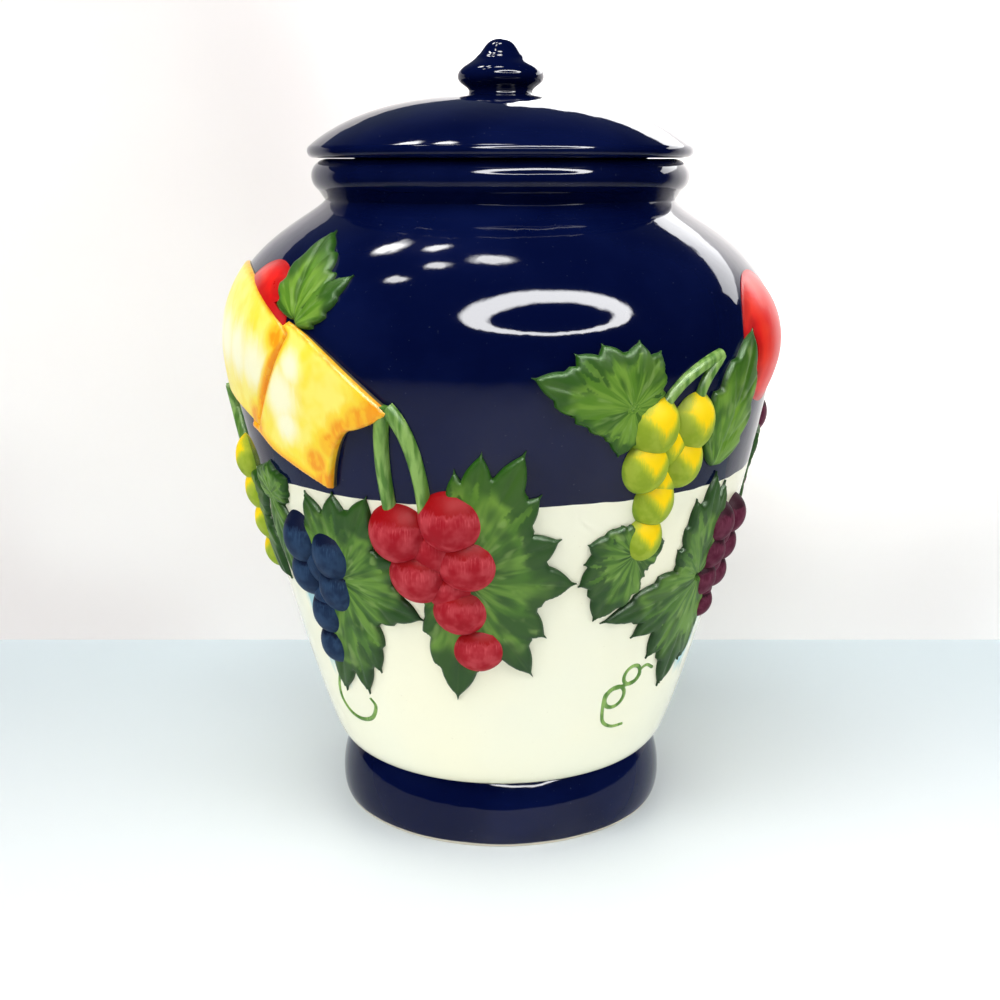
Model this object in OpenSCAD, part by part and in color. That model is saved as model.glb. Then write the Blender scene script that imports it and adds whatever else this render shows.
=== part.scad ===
// Biscuit jar: a glazed stoneware jar on a turned foot, hung about with sprigged fruit,
// and closed by a domed lid with a turned knob and a soft seal round its plug.
// Millimetres. The jar stands on z = 0, its axis is Z and its front faces -Y.
// A place on the wall is [angle, height]: the angle is in degrees from the front towards +X.

/* [Jar] */
// Radius of the belly at its widest
belly_r = 94.5; // [88:0.5:102]
// Height of the belly's widest part
belly_z = 168; // [160:1:174]
// Radius of the wall just above the foot
heel_r = 61; // [57:0.5:65]
// Thickness of the wall at the neck's waist
neck_t = 6; // [5:0.5:9]
// Height of the neck's waist
neck_z = 214.5; // [210:0.5:220]
// Thickness of the wall
wall_t = 5.5; // [4:0.25:7]
// Thickness of the floor
floor_t = 7; // [5:0.5:10]
// Radius of the mouth's bore
mouth_r = 53.5; // [48:0.5:60]
// Height of the rounding where the belly starts, above the foot
heel_h = 7.2; // [5:0.2:10]
// Bevel inside the mouth's rim
lip = 1; // [0.5:0.1:2]

/* [Bead] */
// Radius of the bead's round section
bead_section = 5.2; // [4:0.1:6]
// How far the bead stands out from the neck's waist
bead_out = 4.6; // [3:0.1:6]
// Height of the bead's crown above the neck's waist
bead_rise = 13; // [11:0.5:16]

/* [Foot] */
// Radius of the foot at its widest
foot_r = 59; // [56:0.5:64]
// Height of the foot
foot_h = 22.8; // [16:0.2:28]
// Radius of the crease between foot and belly
crease_r = 54.7; // [52:0.1:57]
// Width of the foot's ring where it rests
foot_band = 9; // [6:0.5:14]

/* [Glaze] */
// Thickness of the glaze coats
glaze_t = 0.5; // [0.3:0.1:1]
// Height where the dark glaze meets the pale one
glaze_line = 127; // [110:1:140]

/* [Lid] */
// How far the lid's rounded edge stands out past the bead
lid_lap = 1.7; // [0.5:0.1:4]
// Radius of the lid's rounded edge in section
lid_nose = 2.3; // [1.5:0.1:3]
// Height of the dome above the lid's seat
dome_h = 20.3; // [16:0.1:26]
// Thickness of the dome at its crown
dome_t = 5; // [4:0.5:8]
// Thickness of the plug's ring
plug_t = 5; // [4:0.5:7]
// Depth of the plug below the lid's seat
plug_h = 15.5; // [13:0.5:18]
// Play between the lid's seat and the rim
seat_play = 0.2; // [0.1:0.1:0.5]

/* [Knob] */
// Radius of the knob at its widest
knob_r = 14.6; // [12:0.1:18]
// Radius of the knob's waist
knob_waist_r = 10.8; // [9:0.1:12]
// Height of the knob
knob_h = 18.6; // [14:0.1:24]

/* [Seal] */
// Depth of the seal's groove in the plug
groove_depth = 2; // [1:0.1:2.5]
// Height of the seal
seal_h = 6; // [4:0.5:8]
// Height of each of the seal's two lips
lip_h = 1.2; // [0.8:0.1:2]
// Play between the seal and what it turns and slides in
seal_play = 0.1; // [0.05:0.01:0.1]
// Space between the plug and the bore, which the seal's lips bridge
plug_gap = 4; // [3:0.5:5]

/* [Relief] */
// Thickness of the leaves
leaf_t = 2; // [1:0.1:3]
// Thickness of the ribbon's panel
panel_t = 1.4; // [1:0.1:4]
// Thickness of the ribbon's tails
tail_t = 3.4; // [2:0.1:5]
// Thickness of the stems
stem_t = 2.8; // [1.5:0.1:4]
// Width of the stems
stem_w = 4.4; // [3:0.1:6]
// Share of a grape's radius that its centre lies under the glaze
grape_sink = 0.32; // [0.1:0.02:0.5]
// How far a large fruit stands out from the glaze
fruit_rise = 3.5; // [2.5:0.5:8]

/* [Hidden] */

$fn = 96;
steps = 9;

neck_r = mouth_r + neck_t;
rim_z = neck_z + bead_rise;
bead_r = neck_r + bead_out;
bead_c = [bead_r - bead_section, rim_z - bead_section];
floor_z = foot_h + floor_t;

// ---- curves ----

function bezier(p, t) =
    pow(1 - t, 3) * p[0] + 3 * pow(1 - t, 2) * t * p[1] + 3 * (1 - t) * t * t * p[2] + pow(t, 3) * p[3];
function curve(p, n = steps) = [for (i = [0 : n]) bezier(p, i / n)];
function tail(list) = [for (i = [1 : len(list) - 1]) list[i]];
function reverse(list) = [for (i = [len(list) - 1 : -1 : 0]) list[i]];
function arc(c, r, a0, a1, n = steps) =
    [for (i = [0 : n]) c + r * [cos(a0 + (a1 - a0) * i / n), sin(a0 + (a1 - a0) * i / n)]];
function unit(v) = v / norm(v);

// ---- the jar's wall, from the crease over the bead's crown to the lip ----

heel_z = foot_h + heel_h;
heel_lean = [0.36, 0.93];
// How far each control point of the wall's curves stands from the curve's end
crease_pull = 3;
heel_round = 3.5;
heel_pull = 28;
belly_pull = 20;
shoulder_pull = 31;
neck_pull = [4, -6];
wall_line = concat(
    curve([
        [crease_r, foot_h], [crease_r + crease_pull, foot_h],
        [heel_r, heel_z] - heel_round * heel_lean, [heel_r, heel_z]
    ], 4),
    tail(curve([
        [heel_r, heel_z], [heel_r, heel_z] + heel_pull * heel_lean,
        [belly_r, belly_z - belly_pull], [belly_r, belly_z]
    ], 12)),
    tail(curve([
        [belly_r, belly_z], [belly_r, belly_z + shoulder_pull],
        [neck_r, neck_z] + neck_pull, [neck_r, neck_z]
    ], 12)),
    arc(bead_c, bead_section, -55, 90, 8),
    [[mouth_r + lip, rim_z]]
);
function wall_normal(i) =
    let (
        a = wall_line[max(i - 1, 0)],
        b = wall_line[min(i + 1, len(wall_line) - 1)],
        d = unit(b - a)
    ) [d.y, -d.x];
// The wall's line, moved out by t
function skin_line(t) = [for (i = [0 : len(wall_line) - 1]) wall_line[i] + t * wall_normal(i)];
function radius_at(z, line) = lookup(z, [for (p = line) [p.y, p.x]]);
function below(line, z) = concat([for (p = line) if (p.y < z - 0.01) p], [[radius_at(z, line), z]]);
function above(line, z) = concat([[radius_at(z, line), z]], [for (p = line) if (p.y > z + 0.01) p]);

module skin(line_in, line_out) {
    rotate_extrude()
        polygon(concat(line_in, reverse(line_out)));
}

// ---- jar ----

floor_cove = 6;
bore_h = 3;
inner_line = [
    for (p = skin_line(-wall_t))
        if (p.y > floor_z + floor_cove && p.y < neck_z && p.x > mouth_r + lip / 2) p
];

module jar_body() {
    color("ivory")
        rotate_extrude()
            polygon(concat(
                [[0, foot_h]],
                wall_line,
                [[mouth_r, rim_z - lip], [mouth_r, neck_z - bore_h]],
                reverse(inner_line),
                [[inner_line[0].x - floor_cove + 1, floor_z], [0, floor_z]]
            ));
}

foot_ease = 1.5;
foot_bulge = 0.9;
foot_bulge_z = 2;
foot_shoulder = 8;
foot_draft = 2;

module foot_ring() {
    rest_r = foot_r - foot_ease;
    inner_r = rest_r - foot_band;
    color("midnightblue")
        rotate_extrude()
            polygon(concat(
                [[inner_r, 0]],
                curve([
                    [rest_r, 0], [foot_r + foot_bulge, foot_bulge_z],
                    [foot_r + foot_bulge, foot_h - foot_shoulder], [crease_r, foot_h]
                ]),
                [[inner_r - foot_draft, foot_h], [inner_r - foot_draft / 2, foot_bulge_z]]
            ));
}

module cream_glaze() {
    color("floralwhite")
        skin(below(skin_line(0), glaze_line), below(above(skin_line(glaze_t), foot_h), glaze_line));
}

module navy_glaze() {
    color("navy")
        skin(above(skin_line(0), glaze_line), above(skin_line(glaze_t), glaze_line));
}

// ---- lid ----

lid_r = bead_r + lid_lap;
seat_z = rim_z + glaze_t + seat_play;
dome_z = seat_z + dome_h;
knob_seat_r = knob_waist_r + 0.2;
plug_r = mouth_r - plug_gap;
plug_in_r = plug_r - plug_t;
plug_z = seat_z - plug_h;
seal_z = seat_z - plug_h / 2 - seal_h / 2;
nose_c = [lid_r - lid_nose, seat_z + lid_nose];
nose_end = 40;
dome_pull = 6;
hollow_cove = [-3, 4];

module lid_dome() {
    crown_z = dome_z - dome_t;
    hollow_z = seat_z + dome_h * 0.4;
    groove_r = plug_r - groove_depth;
    color("navy")
        difference() {
            rotate_extrude()
                polygon(concat(
                    [[0, seat_z], [plug_in_r, seat_z], [plug_in_r, plug_z]],
                    [[plug_r, plug_z], [plug_r, seat_z]],
                    arc(nose_c, lid_nose, -90, nose_end, 6),
                    tail(curve([
                        nose_c + lid_nose * [cos(nose_end), sin(nose_end)],
                        [lid_r - dome_pull, seat_z + dome_h * 0.43],
                        [lid_r * 0.64, dome_z],
                        [knob_seat_r, dome_z]
                    ], 12)),
                    [[0, dome_z]]
                ));
            rotate_extrude()
                polygon(concat(
                    [[0, plug_z - 1], [plug_in_r, plug_z - 1]],
                    curve([
                        [plug_in_r, hollow_z], [plug_in_r, hollow_z] + hollow_cove,
                        [plug_in_r * 0.6, crown_z], [0, crown_z]
                    ])
                ));
            rotate_extrude()
                translate([groove_r, seal_z - seal_play])
                    square([groove_depth + 1, seal_h + 2 * seal_play]);
        }
}

knob_foot_h = 0.8;

module lid_knob() {
    bulge_z = knob_h * 0.34;
    shoulder_z = knob_h * 0.7;
    shoulder_r = knob_r * 0.55;
    tip_r = knob_r * 0.36;
    color("navy")
        translate([0, 0, dome_z])
            rotate_extrude()
                polygon(concat(
                    [[0, 0], [knob_waist_r, 0]],
                    curve([
                        [knob_waist_r, knob_foot_h], [knob_waist_r + knob_foot_h / 2, knob_h * 0.16],
                        [knob_r, knob_h * 0.2], [knob_r, bulge_z]
                    ]),
                    tail(curve([
                        [knob_r, bulge_z], [knob_r, knob_h * 0.52],
                        [shoulder_r * 1.19, knob_h * 0.58], [shoulder_r, shoulder_z]
                    ])),
                    tail(curve([
                        [shoulder_r, shoulder_z], [tip_r, knob_h * 0.82],
                        [tip_r, knob_h], [0, knob_h]
                    ]))
                ));
}

seal_web = 0.6;

module lid_seal() {
    inner_r = plug_r - groove_depth + seal_play;
    web_r = plug_r + seal_web;
    lip_r = mouth_r - seal_play;
    color("whitesmoke")
        rotate_extrude()
            translate([0, seal_z])
                polygon([
                    [inner_r, 0], [web_r, 0],
                    [lip_r, lip_h * 0.6], [lip_r, lip_h * 1.2], [web_r, lip_h * 1.6],
                    [web_r, seal_h - lip_h * 1.6], [lip_r, seal_h - lip_h * 1.2], [lip_r, seal_h - lip_h * 0.6],
                    [web_r, seal_h], [inner_r, seal_h]
                ]);
}

// ---- relief ----

// The garland's outlines and places are drawn for a belly of this radius, at this height.
// The garland grows with the belly's radius and moves with its height.
drawn_belly = [94.5, 168];
grow = belly_r / drawn_belly[0];
function on_belly(z) = belly_z + grow * (z - drawn_belly[1]);

glazed = skin_line(glaze_t);

// What the sprigs are pressed on: the glazed jar as one solid
module glazed_core() {
    rotate_extrude()
        polygon(concat([[0, foot_h]], glazed, [[0, rim_z]]));
}

// A flat outline, seen from outside, laid on the wall at an angle
module on_wall(angle, t) {
    intersection() {
        skin(glazed, skin_line(glaze_t + t));
        pushed_in(angle) children();
    }
}

// The same outline as a straight bar that reaches from the axis out past the belly
module pushed_in(angle) {
    rotate([0, 0, angle])
        rotate([90, 0, 0])
            linear_extrude(belly_r * 1.2)
                translate([0, on_belly(0)])
                    scale(grow)
                        children();
}

// One lobe of a vine leaf, from [0, 0] along +x: its saw teeth point to the tip
function lobe_half(l, w, n = 4) = [
    for (i = [0 : n - 1], part = [0, 1])
        let (s = (i + 0.86 * part + 0.1) / n, full = pow(sin(180 * pow(min(s, 1), 0.72)), 0.8))
            [l * s, w * full * (part == 0 ? 0.84 : 1.06)]
];
function lobe(l, w) =
    let (half = lobe_half(l, w))
        concat([[0, 0]], half, [[l * 1.04, 0]], reverse([for (p = half) [p.x, -p.y]]));

// Lobes are [direction, length, half width] about [0, 0]
module leaf_outline(lobes) {
    for (b = lobes)
        rotate(b[0])
            polygon(lobe(b[1], b[2]));
}

// A stem's outline along a curve
module stroke(p, w) {
    n = 6;
    line = curve(p, n);
    side = [for (i = [0 : n]) let (d = unit(line[min(i + 1, n)] - line[max(i - 1, 0)])) w / 2 * [-d.y, d.x]];
    polygon(concat(
        [for (i = [0 : n]) line[i] + side[i]],
        reverse([for (i = [0 : n]) line[i] - side[i]])
    ));
}

// A bunch: [place of its top row, grape radius, grapes in each row, lean, tilt].
// The lean moves each row sideways, and the tilt lifts a row's right grape over its left one.
RED_BUNCH = [[-15.6, 120], 11, [2, 2, 1, 1], 4.6, 5];
GREEN_BUNCH = [[34.4, 150.5], 9.8, [2, 2, 1, 1], -1.6, 0];
PURPLE_BUNCH = [[62, 112], 8, [2, 2, 2, 1], -0.5, 0];
BLUE_BUNCH = [[-45, 108], 9.6, [2, 2, 1, 1], -1, -3];
UNDER_BUNCH = [[-80, 128], 8.8, [2, 2, 2, 1], 0.8, 2];
REAR_BUNCH = [[100, 138], 9.4, [2, 2, 2, 1], 0.6, -2];
BACK_BUNCH = [[-144, 118], 10.4, [2, 2, 2, 1], 0, -3];
row_pitch = 1.24;
row_spread = 0.76;
row_taper = 0.06;
inner_sink = 0.56;

// A grape of a bunch: its row, its side of the row from -1 to 1, and the share of it that is sunk
module grape(bunch, row, side, sink) {
    r = bunch[1] * (1 - row_taper * row);
    z = on_belly(bunch[0].y - bunch[1] * row_pitch * row + side * bunch[4] / 2);
    wall_r = radius_at(z, glazed);
    across = grow * (side * row_spread * r + bunch[3] * row);
    rotate([0, 0, bunch[0].x + across / wall_r * 180 / PI])
        translate([0, -(wall_r - sink * grow * r), z])
            sphere(grow * r);
}

module grapes(bunch) {
    rows = bunch[2];
    for (row = [0 : len(rows) - 1], k = [0 : rows[row] - 1])
        grape(bunch, row, rows[row] == 1 ? 0 : 2 * k - 1, grape_sink);
    // An inner grape closes the gap below each row of two
    for (row = [0 : len(rows) - 2])
        if (rows[row] == 2)
            grape(bunch, row + 0.5, 0, inner_sink);
}

module grape_sprig(bunch) {
    difference() {
        union() grapes(bunch);
        glazed_core();
    }
}

// A leaf: its middle's place, and its lobes. The bunch's grapes are pressed in through it.
module leaf_sprig(place, lobes) {
    on_wall(place.x, leaf_t)
        translate([0, place.y])
            leaf_outline(lobes);
}

module vine_sprig(leaves, bunch) {
    difference() {
        union()
            for (leaf = leaves)
                leaf_sprig(leaf[0], leaf[1]);
        grapes(bunch);
    }
}

// A round fruit as a low cap with this footprint radius
module fruit_cap(place, a) {
    z = on_belly(place.y);
    wall_r = radius_at(z, glazed);
    r = 1 / (2 * fruit_rise / pow(grow * a, 2) + 1 / wall_r);
    rotate([0, 0, place.x])
        translate([0, -(wall_r + fruit_rise - r), z])
            sphere(r);
}

// The far side of the garland mirrors the near side across the ribbon's middle
ribbon_angle = -80;
module far_side() {
    rotate([0, 0, ribbon_angle])
        mirror([1, 0, 0])
            rotate([0, 0, -ribbon_angle])
                children();
}

// ---- ribbon ----

tail_angle = ribbon_angle + 42;
fold_top = [57, 176];
fold_foot = [37, 145];

module panel_outline() {
    polygon(concat(
        curve([fold_top, [30, 200], [-30, 200], [-fold_top.x, fold_top.y]], 8),
        curve([[-fold_foot.x, fold_foot.y], [-15, 154], [15, 154], fold_foot], 6)
    ));
}

// The tail starts under the panel and ends in a swallow's tail
module tail_outline() {
    polygon(concat(
        [[-26, 170]],
        curve([[-8, 180], [6, 176], [18, 166], [29, 156]], 5),
        [[15, 149.5], [5, 130]],
        curve([[4, 130], [-6, 134], [-18, 139], [-34, 144]], 5)
    ));
}

module ribbon_panel() {
    color("gold")
        on_wall(ribbon_angle, panel_t) panel_outline();
}

module ribbon_tail() {
    color("orange")
        difference() {
            on_wall(tail_angle, tail_t) tail_outline();
            pushed_in(ribbon_angle) panel_outline();
        }
}
module ribbon_tail_front() { ribbon_tail(); }
module ribbon_tail_back() { far_side() ribbon_tail(); }

// ---- grapes ----

module red_grapes_front() { color("crimson") grape_sprig(RED_BUNCH); }
module green_grapes_right() { color("yellowgreen") grape_sprig(GREEN_BUNCH); }
module purple_grapes_side() { color("rebeccapurple") grape_sprig(PURPLE_BUNCH); }
module blue_grapes_left() { color("darkslateblue") grape_sprig(BLUE_BUNCH); }
module green_grapes_left() { color("yellowgreen") grape_sprig(UNDER_BUNCH); }
module purple_grapes_rear() { color("rebeccapurple") grape_sprig(REAR_BUNCH); }
module red_grapes_back() { color("crimson") grape_sprig(BACK_BUNCH); }
module blue_grapes_back() { color("darkslateblue") far_side() grape_sprig(GREEN_BUNCH); }
module purple_grapes_back() { color("rebeccapurple") far_side() grape_sprig(BLUE_BUNCH); }
module green_grapes_rear() { color("yellowgreen") far_side() grape_sprig(PURPLE_BUNCH); }

// ---- vine leaves ----

RED_LEAVES = [[[-8, 104], [
    [92, 34, 7], [80, 40, 10], [64, 44, 10], [48, 35, 9], [22, 31, 11], [-6, 33, 12],
    [-42, 32, 11], [-61, 40, 10], [-95, 44, 12], [-126, 21, 8]
]]];
GREEN_LEAVES = [
    [[24, 157], [
        [162, 31, 9], [138, 24, 9], [118, 21, 9], [84, 19, 9], [60, 18, 8], [34, 11, 6],
        [186, 18, 8], [-145, 13, 7], [-100, 15, 8]
    ]],
    [[29, 109], [[133, 12, 7], [165, 16, 8], [-172, 16, 8], [-150, 19, 9], [-114, 24, 10], [10, 12, 8]]]
];
PURPLE_LEAVES = [[[52, 95], [
    [-165, 37, 8], [-144, 29, 9], [-118, 30, 10], [-94, 40, 10], [-78, 34, 8],
    [110, 29, 8], [94, 35, 8], [80, 31, 8], [140, 17, 7]
]]];
BLUE_LEAVES = [[[-38, 98], [
    [110, 29, 9], [85, 29, 10], [62, 33, 9], [20, 25, 9], [-22, 28, 10],
    [-78, 33, 9], [-91, 42, 9], [-106, 46, 10]
]]];
UNDER_LEAVES = [
    [[-80, 114], [[165, 25, 10], [14, 25, 10], [-50, 32, 11], [-130, 32, 11]]],
    [[-58, 122], [[80, 11, 8], [30, 13, 6], [150, 13, 6], [-88, 32, 7]]],
    [[-102, 122], [[100, 11, 8], [150, 13, 6], [30, 13, 6], [-92, 32, 7]]]
];
BACK_LEAVES = [[[-152, 104], [
    [86, 32, 8], [102, 39, 10], [117, 43, 10], [134, 33, 9], [160, 31, 11], [187, 33, 12],
    [-137, 32, 11], [-118, 39, 10], [-84, 44, 12], [-54, 24, 10]
]]];
REAR_LEAVES = [[[100, 122], [
    [155, 30, 12], [120, 21, 9], [62, 21, 9], [28, 30, 12], [-8, 22, 9],
    [-45, 34, 12], [-88, 36, 10], [-135, 34, 12], [-170, 22, 9]
]]];

module red_vine_front() { color("forestgreen") vine_sprig(RED_LEAVES, RED_BUNCH); }
module green_vine_right() { color("forestgreen") vine_sprig(GREEN_LEAVES, GREEN_BUNCH); }
module purple_vine_side() { color("forestgreen") vine_sprig(PURPLE_LEAVES, PURPLE_BUNCH); }
module blue_vine_left() {
    color("forestgreen")
        difference() {
            vine_sprig(BLUE_LEAVES, BLUE_BUNCH);
            grapes(RED_BUNCH);
        }
}
module green_vine_left() {
    color("forestgreen")
        difference() {
            vine_sprig(UNDER_LEAVES, UNDER_BUNCH);
            grapes(BLUE_BUNCH);
            far_side() grapes(BLUE_BUNCH);
        }
}
module purple_vine_rear() { color("forestgreen") vine_sprig(REAR_LEAVES, REAR_BUNCH); }
module red_vine_back() { color("forestgreen") vine_sprig(BACK_LEAVES, BACK_BUNCH); }
module blue_vine_back() { color("forestgreen") far_side() vine_sprig(GREEN_LEAVES, GREEN_BUNCH); }
module purple_vine_back() {
    color("forestgreen")
        difference() {
            far_side() vine_sprig(BLUE_LEAVES, BLUE_BUNCH);
            grapes(BACK_BUNCH);
        }
}
module green_vine_rear() { color("forestgreen") far_side() vine_sprig(PURPLE_LEAVES, PURPLE_BUNCH); }

// ---- stems ----

// Stems run from under the ribbon's edge into the top grapes
module red_stems() {
    color("olivedrab")
        difference() {
            on_wall(-19, stem_t) {
                stroke([[-4, 156], [-6, 150], [-7, 140], [-5, 124]], stem_w);
                stroke([[-3, 156], [2, 152], [6, 142], [6, 125]], stem_w);
            }
            pushed_in(tail_angle) tail_outline();
            children();
        }
}
module red_stems_front() { red_stems() grapes(RED_BUNCH); }
module red_stems_back() { far_side() red_stems() far_side() grapes(BACK_BUNCH); }

module pair_of_stems() {
    color("olivedrab")
        difference() {
            on_wall(38, stem_t) {
                stroke([[11, 170], [7, 166], [2, 162], [2, 155]], stem_w * 0.8);
                stroke([[11, 170], [2, 168], [-8, 164], [-13, 155]], stem_w * 0.8);
            }
            grapes(GREEN_BUNCH);
        }
}
module green_stems_right() { pair_of_stems(); }
module blue_stems_back() { far_side() pair_of_stems(); }

module green_stems_left() {
    color("olivedrab")
        difference() {
            on_wall(ribbon_angle, stem_t) {
                stroke([[3, 153], [2, 146], [-4, 142], [-6, 132]], stem_w);
                stroke([[-3, 153], [-2, 146], [4, 142], [6, 132]], stem_w);
            }
            pushed_in(ribbon_angle) panel_outline();
            grapes(UNDER_BUNCH);
        }
}

// ---- large fruit ----

SIDE_FRUIT = [[66, 172], 21];
TOP_FRUIT = [[-56, 178], 19];
SIDE_LEAF = [[47, 134], [[71, 44, 13]]];
TOP_LEAVES = [[[-41, 180.5], [[100, 25, 11]]], [[-41, 179], [[44, 21, 5.5]]]];

module side_fruit() {
    difference() {
        fruit_cap(SIDE_FRUIT[0], SIDE_FRUIT[1]);
        glazed_core();
        pushed_in(SIDE_LEAF[0].x)
            translate([0, SIDE_LEAF[0].y])
                leaf_outline(SIDE_LEAF[1]);
    }
}

module side_leaf() {
    difference() {
        leaf_sprig(SIDE_LEAF[0], SIDE_LEAF[1]);
        grapes(GREEN_BUNCH);
    }
}

module top_fruit() {
    difference() {
        fruit_cap(TOP_FRUIT[0], TOP_FRUIT[1]);
        glazed_core();
        pushed_in(ribbon_angle) panel_outline();
        pushed_in(tail_angle) tail_outline();
        for (leaf = TOP_LEAVES)
            pushed_in(leaf[0].x)
                translate([0, leaf[0].y])
                    leaf_outline(leaf[1]);
    }
}

module top_leaves() {
    difference() {
        union()
            for (leaf = TOP_LEAVES)
                leaf_sprig(leaf[0], leaf[1]);
        pushed_in(tail_angle) tail_outline();
    }
}

module apple_right() { color("red") side_fruit(); }
module apple_leaf_right() { color("green") side_leaf(); }
module apple_left() { color("red") top_fruit(); }
module apple_leaves_left() { color("green") top_leaves(); }
module peach_back() { color("darkorange") far_side() side_fruit(); }
module peach_leaf_back() { color("green") far_side() side_leaf(); }
module lemon_left() { color("yellow") far_side() top_fruit(); }
module lemon_leaves_left() { color("green") far_side() top_leaves(); }

jar_body();
foot_ring();
cream_glaze();
navy_glaze();
lid_dome();
lid_knob();
lid_seal();
ribbon_panel();
ribbon_tail_front();
ribbon_tail_back();
red_grapes_front();
red_vine_front();
red_stems_front();
green_grapes_right();
green_vine_right();
green_stems_right();
purple_grapes_side();
purple_vine_side();
blue_grapes_left();
blue_vine_left();
green_grapes_left();
green_vine_left();
green_stems_left();
apple_right();
apple_leaf_right();
apple_left();
apple_leaves_left();
red_grapes_back();
red_vine_back();
red_stems_back();
blue_grapes_back();
blue_vine_back();
blue_stems_back();
purple_grapes_back();
purple_vine_back();
green_grapes_rear();
green_vine_rear();
purple_grapes_rear();
purple_vine_rear();
peach_back();
peach_leaf_back();
lemon_left();
lemon_leaves_left();
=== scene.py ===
# %% [markdown]
# # A glazed biscuit jar with pressed fruit
# The real jar is a round stoneware pot with a glossy dark shoulder, a cream belly and a dark foot. Fruit,
# vine leaves and a ribbon are pressed in moulds, stuck on the wall and painted by hand. It could all be
# modelled from nothing here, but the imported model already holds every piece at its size. So this script
# loads it first and builds the looks around it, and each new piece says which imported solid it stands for.

import math

import bmesh
import bpy
import numpy as np
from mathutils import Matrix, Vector, geometry


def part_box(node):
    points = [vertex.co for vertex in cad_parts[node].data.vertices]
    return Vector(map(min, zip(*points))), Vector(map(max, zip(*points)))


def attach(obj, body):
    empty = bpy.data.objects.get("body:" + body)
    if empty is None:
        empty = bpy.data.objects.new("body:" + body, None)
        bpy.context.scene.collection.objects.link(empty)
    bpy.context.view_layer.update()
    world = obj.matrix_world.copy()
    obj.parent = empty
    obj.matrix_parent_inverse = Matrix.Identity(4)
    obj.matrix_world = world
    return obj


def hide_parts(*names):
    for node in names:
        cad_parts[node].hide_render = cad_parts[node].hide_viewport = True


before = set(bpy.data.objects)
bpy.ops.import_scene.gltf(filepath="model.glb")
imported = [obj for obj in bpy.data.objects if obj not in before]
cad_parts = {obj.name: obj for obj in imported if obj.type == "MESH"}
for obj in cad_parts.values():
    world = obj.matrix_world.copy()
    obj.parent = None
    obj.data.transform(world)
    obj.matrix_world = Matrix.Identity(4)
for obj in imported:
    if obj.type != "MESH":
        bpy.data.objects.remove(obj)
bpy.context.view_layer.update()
MM = 0.001

# %% [markdown]
# The camera stands where the jar is seen slightly from above, with the jar's axis in the middle of the
# frame. A wide lens close by would also fit the jar in, but it would swell the belly, so this is a normal
# one, half a metre away. The lens is worked out from the field of view, so that the numbers are a distance,
# a height and an angle that can be read. Glazes over bright paint look right with the plain Standard
# transform, because a filmic one greys the yellows and the cream.

# %% Camera
FRAME_PX = 1000
FOCAL_PX = 1387
SENSOR = 36
CAMERA_AT = Vector((-0.3, -489, 228)) * MM
CAMERA_DOWN = math.radians(13.83)

camera_data = bpy.data.cameras.new("camera")
camera_data.sensor_width = SENSOR
camera_data.lens = FOCAL_PX / FRAME_PX * SENSOR
camera = bpy.data.objects.new("camera", camera_data)
camera.location = CAMERA_AT
camera.rotation_euler = (math.pi / 2 - CAMERA_DOWN, 0, 0)
bpy.context.scene.collection.objects.link(camera)
bpy.context.scene.camera = camera
bpy.context.scene.view_settings.view_transform = "Standard"
print("lens", round(camera_data.lens, 2), "mm")

# %% [markdown]
# Every finish here is a sum of masks and noises. It could be wired node by node, but a mask with five terms
# would take twenty lines, and nobody could check it. So `Value` wraps one output socket, and Python's
# operators on it add Math nodes, also the other way round, so that `1 - mask` works.

# %% Sockets that add up
class Value:
    """An output socket that takes part in Python arithmetic."""

    def __init__(self, wiring, socket):
        self.wiring, self.socket = wiring, socket

    def __add__(self, other):
        return self.wiring.math("ADD", self, other)

    def __radd__(self, other):
        return self.wiring.math("ADD", other, self)

    def __sub__(self, other):
        return self.wiring.math("SUBTRACT", self, other)

    def __rsub__(self, other):
        return self.wiring.math("SUBTRACT", other, self)

    def __mul__(self, other):
        return self.wiring.math("MULTIPLY", self, other)

    def __rmul__(self, other):
        return self.wiring.math("MULTIPLY", other, self)

    def __truediv__(self, other):
        return self.wiring.math("DIVIDE", self, other)

    def __rtruediv__(self, other):
        return self.wiring.math("DIVIDE", other, self)

    def __abs__(self):
        return self.wiring.math("ABSOLUTE", self)


print("operators ready")

# %% [markdown]
# Every other kind of node could have a function of its own. One method is enough for all of them, because
# each has a type, settings that come first, and then the numbers or links of its inputs. `Wiring` holds a
# tree and that method, and the short ones below it name the few nodes that come up again and again.

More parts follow.
